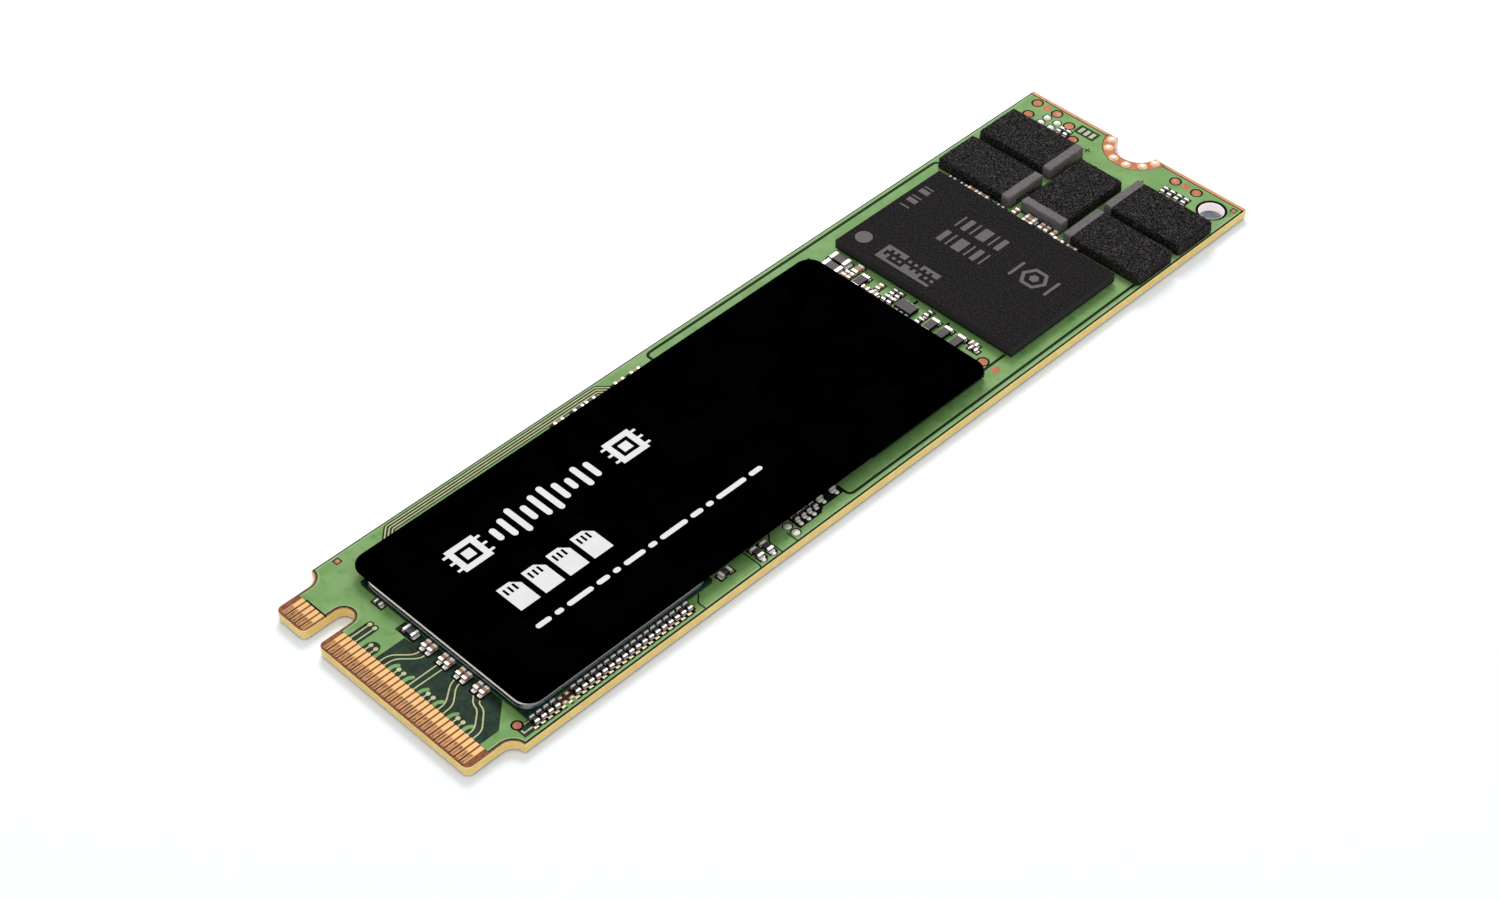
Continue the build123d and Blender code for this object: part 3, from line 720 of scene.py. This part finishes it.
SLIT_WIDTH = 0.25
RIGHT_SPLITS = (
    ((11.2, 20.55), (10.15, 20.55), (9.45, 21.3), (9.0, 21.3)),
    ((11.2, 25.8), (10.95, 25.85), (10.7, 26.0), (8.8, 26.0)),
    ((11.2, 28.0), (9.6, 28.0), (9.1, 28.5), (8.8, 28.5)),
    ((11.2, 29.5), (9.9, 29.5)),
)
SHORT_SLITS = (
    ((8.6, 51.6), (8.6, 54.0)),
    ((-0.1, 53.5), (-0.1, 53.9)),
    ((3.3, 53.45), (3.3, 53.7)),
)


def slit_shapes():
    """Gaps that part the copper areas near the edges."""
    left = ((-8.6, 35.3), (-10.3, 35.3), (-10.5, 35.6), (-10.5, 67.3), (-10.3, 67.6), (-9.4, 67.6))
    right = ((9.2, 35.3), (10.25, 35.3), (10.45, 35.6), (10.45, 67.3), (10.2, 67.6), (9.6, 67.6))
    slits = [(points, SLIT_WIDTH, 0.2) for points in (left, right)]
    slits += [(points, THIN_GAP, 0.15) for points in RIGHT_SPLITS]
    slits += [(points, SLIT_WIDTH) for points in SHORT_SLITS]
    return [("gap", stroke(*slit)) for slit in slits]


LEGEND = (-5.2, -3.2, 78.35, 79.5)
LEGEND_BARS = 3
LEGEND_BAR_HALF = 0.17
LEGEND_INSET = (0.15, 0.22)
PLUS_MARKS = ((-2.75, 77.2), (2.95, 77.05))
PLUS_REACH = 0.3
PLUS_HALF = 0.06


def legend_shapes():
    """A dark box with three light bars, and the small marks near the contacts and the capacitors."""
    x_low, x_high, y_low, y_high = LEGEND
    inset_x, inset_y = LEGEND_INSET
    shapes = [("dark", rectangle(*LEGEND))]
    step = (x_high - x_low - 2 * inset_x) / LEGEND_BARS
    for bar in range(LEGEND_BARS):
        x = x_low + inset_x + step * (bar + 0.5)
        sides = (x - LEGEND_BAR_HALF, x + LEGEND_BAR_HALF)
        shapes.append(("legend", rectangle(*sides, y_low + inset_y, y_high - inset_y)))
    for x, y in PLUS_MARKS:
        for half_x, half_y in ((PLUS_REACH, PLUS_HALF), (PLUS_HALF, PLUS_REACH)):
            shapes.append(("dark", rectangle(x - half_x, x + half_x, y - half_y, y + half_y)))
    shapes.append(("dark", rectangle(9.75, 10.62, 4.4, 5.5)))
    shapes.append(("gap", list(CLUSTER)))
    shapes.append(("legend", stroke(((10.05, 4.62), (10.27, 4.62), (10.27, 5.3)), 0.13)))
    return shapes


FAN_OUT_START_X = 10.3


def unfitted_lands():
    """The lands in the column of termination chips that carry no chip."""
    return [box for box in solids_of("fan_out_pads") if middle(box)[0] < FAN_OUT_START_X]


def column_shapes():
    """The dark strip under the termination chips and the traces that leave it."""
    shapes = [("gap", rectangle(9.3, 10.35, 5.5, 20.1))]
    for x, y in (middle(box) for box in solids_of("fan_out_pads")):
        if x > FAN_OUT_START_X:
            shapes.append(("gap", rectangle(10.3, 10.7, y - 0.16, y + 0.16)))
    for box in solids_of("termination_resistor_bodies"):
        y = middle(box)[1]
        shapes.append(("opening", rectangle(10.3, 10.66, y - 0.13, y + 0.13)))
    bare = unfitted_lands()
    low_y = min(low[1] for low, _ in bare)
    high_y = max(high[1] for _, high in bare)
    shapes.append(("ground", rectangle(9.56, 10.33, low_y - 0.1, high_y + 0.1)))
    for kind, width in (("dark", 0.34), ("trace", 0.14)):
        shapes.append((kind, stroke(((9.5, 4.9), (9.75, 5.15), (9.75, 5.6)), width, 0.15)))
    return shapes


CLUSTER = ((8.7, 30.45), (10.25, 30.45), (10.25, 32.6), (9.9, 33.1), (9.9, 35.2), (8.7, 35.2))


# radius and height
PLUG_PEARL = (0.28, 0.15)
LAND_PEARL = (0.13, 0.1)
PLUG_RIM_RADIUS = 0.4
PAD_TOP = box_mm("screw_pad")[1][2]


def solder_pearls():
    """Rounded solder: on the vias of the screw pad and on the unfitted lands."""
    vertices = []
    faces = []
    places = [(middle(box), *PLUG_PEARL, PAD_TOP) for box in solids_of("screw_pad_vias")]
    places += [(middle(box), *LAND_PEARL, box[1][2]) for box in unfitted_lands()]
    sides = 14
    levels = 4
    for (x, y), radius, height, base in places:
        first = len(vertices)
        for level in range(levels):
            angle = math.radians(90 * level / levels)
            z = base - 0.01 + height * math.sin(angle)
            ring = disc((x, y), radius * math.cos(angle), sides)
            vertices += [(px, py, z) for px, py in ring]
        vertices.append((x, y, base - 0.01 + height))
        peak = len(vertices) - 1
        faces.append(tuple(range(first, first + sides))[::-1])
        for step in range(sides):
            after = (step + 1) % sides
            for level in range(levels - 1):
                a = first + level * sides
                b = a + sides
                faces.append((a + step, a + after, b + after, b + step))
            top = first + (levels - 1) * sides
            faces.append((top + step, top + after, peak))
    new_mesh("solder_pearls", vertices, faces, ["solder"], smooth=True)


def via_rims():
    """A gilded ring round each solder plug of the screw pad."""
    plugs = [middle(box) for box in solids_of("screw_pad_vias")]
    shapes = [("rim", disc(plug, PLUG_RIM_RADIUS, 24)) for plug in plugs]
    layered_piece("via_rims", shapes, {"rim": (0.004, "gilded_rim")}, PAD_TOP)


RINGED_PAD_MARGIN = 0.15
PLAIN_PAD_MARGIN = 0.0
PLAIN_PADS = ((-8.65, 79.15), (5.9, 79.1), (9.2, 52.3))
OPENING_MARGINS = {
    "position_marks": 0.1,
    "fan_out_pads": 0.03,
    "hold_up_capacitor_lands": 0.06,
    "regulator_leads": 0.06,
}


def pad_rim():
    return [("pad_rim", disc(NOTCH_CENTRE, PAD_RIM_RADIUS, 48))]


def corner_hole():
    return [
        ("opening", disc(CORNER_HOLE, CORNER_HOLE_RADIUS + CORNER_HOLE_CLEARANCE, 32)),
        ("hole", disc(CORNER_HOLE, CORNER_HOLE_RADIUS, 32)),
    ]


def pad_shapes():
    """Openings in the mask, each a little larger than the metal inside it."""
    shapes = []
    for box in solids_of("test_pads"):
        x, y = middle(box)
        plain = any(math.hypot(x - pad[0], y - pad[1]) < 0.1 for pad in PLAIN_PADS)
        margin = PLAIN_PAD_MARGIN if plain else RINGED_PAD_MARGIN
        shapes.append(("opening", disc((x, y), (box[1][0] - box[0][0]) / 2 + margin)))
    for box in solids_of("solder_domes"):
        shapes.append(("opening", disc(middle(box), (box[1][0] - box[0][0]) / 2 + 0.09)))
    for node, margin in OPENING_MARGINS.items():
        shapes += [("opening", grown(box, margin)) for box in solids_of(node)]
    for box, way, reach in CHIP_ENDS:
        shapes.append(("opening", land_loop(box, way, reach, OPENING_MARGIN)))
    strips = [("opening", grown(box, 0.1)) for box in solids_of("end_strips")]
    return shapes + pad_rim() + strips + corner_hole()


KINDS = {
    "rim": (BARE, "rim_laminate"),
    "bare": (BARE, "bare_laminate"),
    "between": (BARE, "laminate_between_contacts"),
    "opening": (BARE, "opening"),
    "pad_rim": (BARE, "bare_ground"),
    "ground": (OVER_COPPER, "bare_ground"),
    "gap": (OVER_LAMINATE, "mask_in_gap"),
    "dark": (OVER_LAMINATE, "mask_over_laminate"),
    "border": (OVER_COPPER, "mask_border"),
    "pour": (OVER_COPPER, "mask_over_copper"),
    "trace": (OVER_COPPER, "masked_trace"),
    "legend": (OVER_COPPER, "legend"),
}


def base_shapes():
    """What both faces share: bare rim, mask to near the edge, and the ground copper inside it."""
    return [
        ("rim", rectangle(-12, 12, -1, LENGTH + 1)),
        ("bare", rectangle(-12, 12, -1, SHOULDER_Y + 0.2)),
        ("gap", card_outline(0.03, 0.12)),
        ("border", card_outline(0.13, 0.2)),
        ("pour", card_outline(0.27, 0.32)),
    ]


def contact_gaps(node):
    """The laminate seen between neighbouring contacts."""
    contacts = solids_of(node)
    shapes = []
    for (_, before), (after, high) in zip(contacts, contacts[1:]):
        if after[0] - before[0] < CONTACT_PITCH:
            shapes.append(("between", rectangle(before[0], after[0], after[1], high[1])))
    return shapes


def top_skin():
    shapes = base_shapes() + fan_out_shapes() + bundle_shapes() + slit_shapes()
    shapes += column_shapes() + legend_shapes() + pad_shapes()
    shapes.append(("bare", rectangle(-12, 12, -1, MASK_START_Y)))
    shapes += contact_gaps("edge_contacts_top")
    mask_step = (FIRST_CONTACT_X, KEY_X - KEY_HALF, MASK_START_Y, MASK_START_Y + MASK_STEP)
    shapes.append(("opening", rectangle(*mask_step)))
    layered_piece("solder_mask_top", shapes, KINDS, TOP, within=card_outline(0, 0))


def controller_underfill():
    """The bead that closes the gap between the controller and the card."""
    low, high = box_mm("controller_substrate")
    inset = 0.25
    shapes = [
        ("bead", rectangle(low[0], high[0], low[1], high[1])),
        ("open", rectangle(low[0] + inset, high[0] - inset, low[1] + inset, high[1] - inset)),
    ]
    kinds = {"bead": (low[2] - TOP - 0.005, "underfill")}
    layered_piece("controller_underfill", shapes, kinds, TOP)


def bottom_skin():
    shapes = base_shapes()
    for row in range(12):
        for column in range(5):
            via = (-8.6 + column * 4.3 + (row % 2) * 1.1, 68.2 + row * 0.9)
            off_notch = math.dist(via, (0, LENGTH)) > 3.2
            if via[1] < LENGTH - 1 and off_notch and math.dist(via, CORNER_HOLE) > 1.6:
                shapes.append(("trace", disc(via, DOT, 12)))
    shapes += pad_rim() + corner_hole()
    shapes.append(("bare", rectangle(-12, 12, -1, MASK_START_Y)))
    shapes += contact_gaps("edge_contacts_bottom")
    layered_piece("solder_mask_bottom", shapes, KINDS, 0, -1, within=card_outline(0, 0))


# ---- hold-up capacitors

BAND_WAY = {1: (1, 0), 2: (1, 0), 3: (0, -1), 4: (-1, 0), 5: (-1, 0)}
BAND_WIDTH = 0.83
CASE_ROUNDING = 0.16
CASE_STEP = 0.08
GRAIN_SIZE = 0.3
GRAIN_HEIGHT = 0.045
CASE_DRAFT = 0.05
CASE_OVER_LEAD = 0.15
CASE_SEAT = 0.02


def grained(point):
    """How far the moulded surface stands out at a point: rounded grains with narrow valleys."""
    distances, _ = noise.voronoi(Vector(point) / GRAIN_SIZE)
    cells = min(distances[1] - distances[0], 0.6) / 0.6
    return GRAIN_HEIGHT * (cells - 0.6) + 0.012 * noise.noise(Vector(point) / 0.12)


def capacitor_case(number):
    node = f"hold_up_capacitor_{number}"
    low, high = box_mm(node)
    way_x, way_y = BAND_WAY[number]
    length_axis = 0 if way_x else 1
    low[length_axis] -= CASE_OVER_LEAD
    high[length_axis] += CASE_OVER_LEAD
    low[2] = TOP + CASE_SEAT
    centre = [(a + b) / 2 for a, b in zip(low, high)]
    half = [(b - a) / 2 for a, b in zip(low, high)]
    inner = [reach - CASE_ROUNDING - GRAIN_HEIGHT * 0.4 for reach in half]
    vertices = []
    faces = []
    shared = {}

    def vertex(spot):
        key = tuple(round(value, 4) for value in spot)
        if key not in shared:
            shared[key] = len(vertices)
            held = Vector([max(-i, min(i, s)) for s, i in zip(spot, inner)])
            way = Vector(spot) - held
            way.normalize()
            point = held + way * CASE_ROUNDING
            shrink = 1 - CASE_DRAFT * (point.z + half[2]) / (2 * half[2]) / max(half[0], half[1])
            drafted = (point.x * shrink, point.y * shrink, point.z)
            place = Vector([start + reach for start, reach in zip(centre, drafted)])
            if spot[2] > -half[2] * 0.99:
                place += way * grained(place)
            vertices.append(tuple(place))
        return shared[key]

    for axis, sign in ((0, -1), (0, 1), (1, -1), (1, 1), (2, -1), (2, 1)):
        u, v = (axis + 1) % 3, (axis + 2) % 3
        count_u = max(2, round(2 * half[u] / CASE_STEP))
        count_v = max(2, round(2 * half[v] / CASE_STEP))
        grid = {}
        for i in range(count_u + 1):
            for j in range(count_v + 1):
                spot = [0, 0, 0]
                spot[axis] = sign * half[axis]
                spot[u] = half[u] * (2 * i / count_u - 1)
                spot[v] = half[v] * (2 * j / count_v - 1)
                grid[i, j] = vertex(spot)
        for i in range(count_u):
            for j in range(count_v):
                face = (grid[i, j], grid[i + 1, j], grid[i + 1, j + 1], grid[i, j + 1])
                faces.append(face if sign > 0 else face[::-1])
    band_start = half[length_axis] - BAND_WIDTH
    indices = []
    for face in faces:
        x = sum(vertices[index][0] for index in face) / len(face) - centre[0]
        y = sum(vertices[index][1] for index in face) / len(face) - centre[1]
        indices.append(1 if x * way_x + y * way_y > band_start else 0)
    materials = ["capacitor_mould", "polarity_band"]
    name = f"capacitor_case_{number}"
    piece = new_mesh(name, vertices, faces, materials, indices, smooth=True)
    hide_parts(node)


# ---- print on the label and the open package


def framed_cell(x_low, x_high, y_low, y_high, border, core):
    """A square-cornered frame with a block in its middle."""
    x = (x_low + x_high) / 2
    y = (y_low + y_high) / 2
    return [
        ("ink", rectangle(x_low, x_high, y_low, y_high)),
        ("gap", rectangle(x_low + border, x_high - border, y_low + border, y_high - border)),
        ("ink", rectangle(x - core, x + core, y - core, y + core)),
    ]


def memory_card_icon(x_low, x_high, y_low, y_high):
    """A card with one cut corner and three contact slots."""
    cut = 0.62
    cut_corner = [(x_low + cut, y_high), (x_low, y_high - cut)]
    shapes = [("ink", [(x_low, y_low), (x_high, y_low), (x_high, y_high), *cut_corner])]
    for slot in range(3):
        y = y_low + 0.36 + slot * 0.42
        shapes.append(("gap", rectangle(x_low + 0.3, x_low + 0.95, y - 0.1, y + 0.1)))
    return shapes


def label_print():
    """Generic graphics: a row of heavy bars between two chips, four cards, and dashes, along +Y."""
    shapes = []
    low_x, high_x = -4.9, -2.4
    for y_low in (10.8, 25.6):
        for pin in range(3):
            x = low_x + 0.45 + pin * 0.8
            shapes.append(("ink", stroke(((x, y_low - 0.4), (x, y_low + 2.9)), 0.22, round_ends=False)))
        shapes += framed_cell(low_x, high_x, y_low, y_low + 2.5, 0.5, 0.42)
    for step, reach in enumerate((0.9, 1.6, 2.4, 1.2, 2.0, 2.4, 1.4, 0.8, 1.9, 1.3)):
        y = 14.6 + step * 1.0
        centre = (low_x + high_x) / 2
        shapes.append(("ink", stroke(((centre - reach / 2, y), (centre + reach / 2, y)), 0.5)))
    for card in range(4):
        y = 11.05 + card * 2.25
        shapes += memory_card_icon(0.3, 2.9, y, y + 1.75)
    y = 10.75
    for length in (1.1, 0.5, 2.1, 0.9, 0.4, 1.7, 0.5, 2.3, 0.9, 0.4, 2.6, 1.0):
        shapes.append(("ink", stroke(((4.75, y + 0.2), (4.75, y + length)), 0.42)))
        y += length + 0.62
    top = box_mm("top_label")[1][2]
    layered_piece("label_print", shapes, {"ink": (0.012, "label_print")}, top)


def package_print():
    """Generic marks: the contact 1 dot, a block of cells, bars in place of codes, and a hexagon."""
    shapes = [("ink", disc((-7.45, 55.8), 0.7, 28))]
    cell = 0.3
    columns, rows = 18, 6
    for column in range(columns):
        for row in range(rows):
            if row == 0 or column == 0 or (column * 37 + row * 101 + column * row * 17) % 11 < 6:
                x = -5.4 + column * cell
                y = 54.8 + row * cell * 0.97
                shapes.append(("ink", rectangle(x, x + cell * 0.98, y, y + cell * 0.95)))
    widths = (0.16, 0.5, 0.16, 0.9, 0.16, 0.5)
    for y_low, row in ((61.75, widths), (59.55, widths[::-1])):
        x = -3.4
        for width in row:
            shapes.append(("ink", rectangle(x, x + width, y_low, y_low + 1.45)))
            x += width + 0.42
    for row, width in enumerate((0.14, 0.5, 0.14, 0.5, 0.14)):
        y = 60.75 + row * 0.72
        shapes.append(("ink", rectangle(-8.25, -7.3, y, y + width)))
    badge = (5.2, 61.25)
    shapes.append(("ink", disc(badge, 1.2, 6)))
    shapes.append(("gap", disc(badge, 0.86, 6)))
    shapes.append(("ink", disc(badge, 0.42, 6)))
    for x in (badge[0] - 1.75, badge[0] + 1.75):
        shapes.append(("ink", stroke(((x, 60.4), (x, 62.1)), 0.26)))
    top = box_mm("open_memory_mould")[1][2]
    kinds = {"ink": (0.006, "package_print")}
    layered_piece("package_print", shapes, kinds, top, root=0.002)


def rear_print():
    """Plain bars in place of the text of the rear label."""
    shapes = []
    for line in range(9):
        y = 18.0 + line * 2.2
        for order in range(3):
            start = -7.5 + order * 5.2
            length = 2.6 + (line * 5 + order * 3) % 4 * 0.6
            shapes.append(("ink", rectangle(start, start + length, y, y + 0.7)))
    for column in range(24):
        x = -7.5 + column * 0.6
        width = 0.18 + (column * 7 % 3) * 0.09
        shapes.append(("ink", rectangle(x, x + width, 46.0, 52.0)))
    bottom = box_mm("rear_label")[0][2]
    kinds = {"ink": (0.004, "rear_label_print")}
    layered_piece("rear_label_print", shapes, kinds, bottom, -1)


# ---- what each CAD node looks like

# the first ending that a node's name has decides its look
NODE_LOOKS = {
    "circuit_board": "laminate_edge",
    "edge_contacts_top": "worn_gold",
    "edge_contacts_bottom": "worn_gold_rear",
    "screw_pad": "bare_copper",
    "end_strips": "strip_copper",
    "test_pads": "bare_copper",
    "position_marks": "bare_copper",
    "hold_up_capacitor_lands": "land_copper",
    "hold_up_capacitor_leads": "shaded_lead",
    "screw_pad_vias": "solder",
    "solder_domes": "solder",
    "fan_out_pads": "gilded_land",
    "corner_hole_barrel": "hole_plating",
    "_die": "silicon",
    "_dies": "silicon",
    "controller_thermal_layer": "thermal_compound",
    "controller_lid": "nickel_lid",
    "_body": "small_package_mould",
    "coupling_capacitor_bodies": "capacitor_ceramic",
    "_resistor_bodies": "resistor_glaze",
    "ferrite_bead_bodies": "ferrite",
    "power_inductors": "ferrite",
    "crystal_base": "crystal_ceramic",
    "top_label": "label_film",
    "rear_label": "rear_label_film",
    "_balls": "solder",
    "_substrate": "package_substrate",
    "_ends": "tin_plating",
    "_leads": "tin_plating",
    "_lands": "tin_plating",
    "_lid": "tin_plating",
    "": "package_mould",
}
SOFTENED = {
    "_memory_mould": 0.04,
    "regulator_body": 0.03,
    "coupling_capacitor_bodies": 0.02,
    "coupling_capacitor_ends": 0.03,
    "termination_resistor_ends": 0.02,
    "setting_resistor_ends": 0.02,
    "sense_resistor_ends": 0.03,
    "ferrite_bead_ends": 0.03,
    "ferrite_bead_bodies": 0.03,
}


def by_ending(table, name):
    """The first value in a table whose key ends the name."""
    return next((value for ending, value in table.items() if name.endswith(ending)), None)


def dress_nodes():
    """Materials and softened edges for the CAD nodes; their shapes stay as they are."""
    for name, node in NODES.items():
        node.data.materials.clear()
        node.data.materials.append(LOOKS[by_ending(NODE_LOOKS, name)])
        width = by_ending(SOFTENED, name)
        if width:
            bevel = node.modifiers.new("softened edges", "BEVEL")
            bevel.width = width * MM
            bevel.segments = 2
            bevel.limit_method = "ANGLE"


# ---- stage, light and camera


FLOOR_REACH = 1500
FLOOR_COLOUR = (0.9, 0.925, 0.96, 1)
FLOOR_SHADOW_COLOUR = (0.16, 0.16, 0.17, 1)
FLOOR_SHADOW_HALF = 0.7
FLOOR_SHADOW_FADE = 0.8


def stage():
    """A pale floor, with a soft grey painted shadow under the corner hole, which shows through it."""
    z = min(box_mm(name)[0][2] for name in NODES) - 0.01
    mesh = bpy.data.meshes.new("floor")
    corners = rectangle(-FLOOR_REACH, FLOOR_REACH, -FLOOR_REACH, FLOOR_REACH)
    mesh.from_pydata([(x * MM, y * MM, z * MM) for x, y in corners], [], [(0, 1, 2, 3)])
    ground = Look("floor", FLOOR_COLOUR, 0.9, specular=0.1).glow((0.5, 0.75, 1.0, 1), 0.09)
    # painted shadow: the floor is darkened in a soft square under the corner hole
    spot = 1.0
    for axis, place in zip("XY", CORNER_HOLE):
        low = place - FLOOR_SHADOW_HALF
        high = place + FLOOR_SHADOW_HALF
        spot = ground.times(spot, ground.along(axis, low - FLOOR_SHADOW_FADE, low))
        spot = ground.times(spot, ground.inverse(ground.along(axis, high, high + FLOOR_SHADOW_FADE)))
    mesh.materials.append(ground.blend(FLOOR_SHADOW_COLOUR, spot).material)
    new_object("floor", mesh)


WORLD_STRENGTH = 0.76
KEY_PLACE = Vector((-190, 230, 290))
KEY_SIZE = 150
KEY_POWER = 0.8


def light():
    """Even white surroundings, and one square light from beyond the far left corner."""
    world = bpy.data.worlds.new("surroundings")
    world.use_nodes = True
    background = world.node_tree.nodes["Background"]
    background.inputs["Color"].default_value = (1, 1, 1, 1)
    background.inputs["Strength"].default_value = WORLD_STRENGTH
    bpy.context.scene.world = world
    data = bpy.data.lights.new("key", "AREA")
    data.size = KEY_SIZE * MM
    data.energy = KEY_POWER
    key = new_object("key", data)
    key.location = KEY_PLACE * MM
    way = Vector((0, LENGTH / 2, 0)) - KEY_PLACE
    key.rotation_euler = way.to_track_quat("-Z", "Y").to_euler()


VIEW_AZIMUTH = 45.205
VIEW_ELEVATION = 44.372
VIEW_ROLL = -0.54
VIEW_TARGET = (2.176, 33.589, TOP)
VIEW_DISTANCE = 196.15
LENS = 65.49


def camera():
    data = bpy.data.cameras.new("camera")
    data.sensor_width = 36
    data.lens = LENS
    data.clip_start = 0.005
    data.clip_end = 10
    eye = new_object("camera", data)
    azimuth, elevation, roll = (math.radians(a) for a in (VIEW_AZIMUTH, VIEW_ELEVATION, VIEW_ROLL))
    flat = math.cos(elevation)
    back = Vector((math.sin(azimuth) * flat, -math.cos(azimuth) * flat, math.sin(elevation)))
    right = Vector((math.cos(azimuth), math.sin(azimuth), 0))
    up = back.cross(right)
    right_rolled = right * math.cos(roll) + up * math.sin(roll)
    up_rolled = up * math.cos(roll) - right * math.sin(roll)
    turn = Matrix((right_rolled, up_rolled, back)).transposed().to_4x4()
    place = Matrix.Translation((Vector(VIEW_TARGET) + back * VIEW_DISTANCE) * MM)
    eye.matrix_world = place @ turn
    bpy.context.scene.camera = eye


dress_nodes()
top_skin()
bottom_skin()
controller_underfill()
chip_lands()
solder_fillets()
solder_pearls()
via_rims()
for number in BAND_WAY:
    capacitor_case(number)
label_print()
package_print()
rear_print()
stage()
light()
camera()
bpy.context.scene.view_settings.view_transform = "Standard"
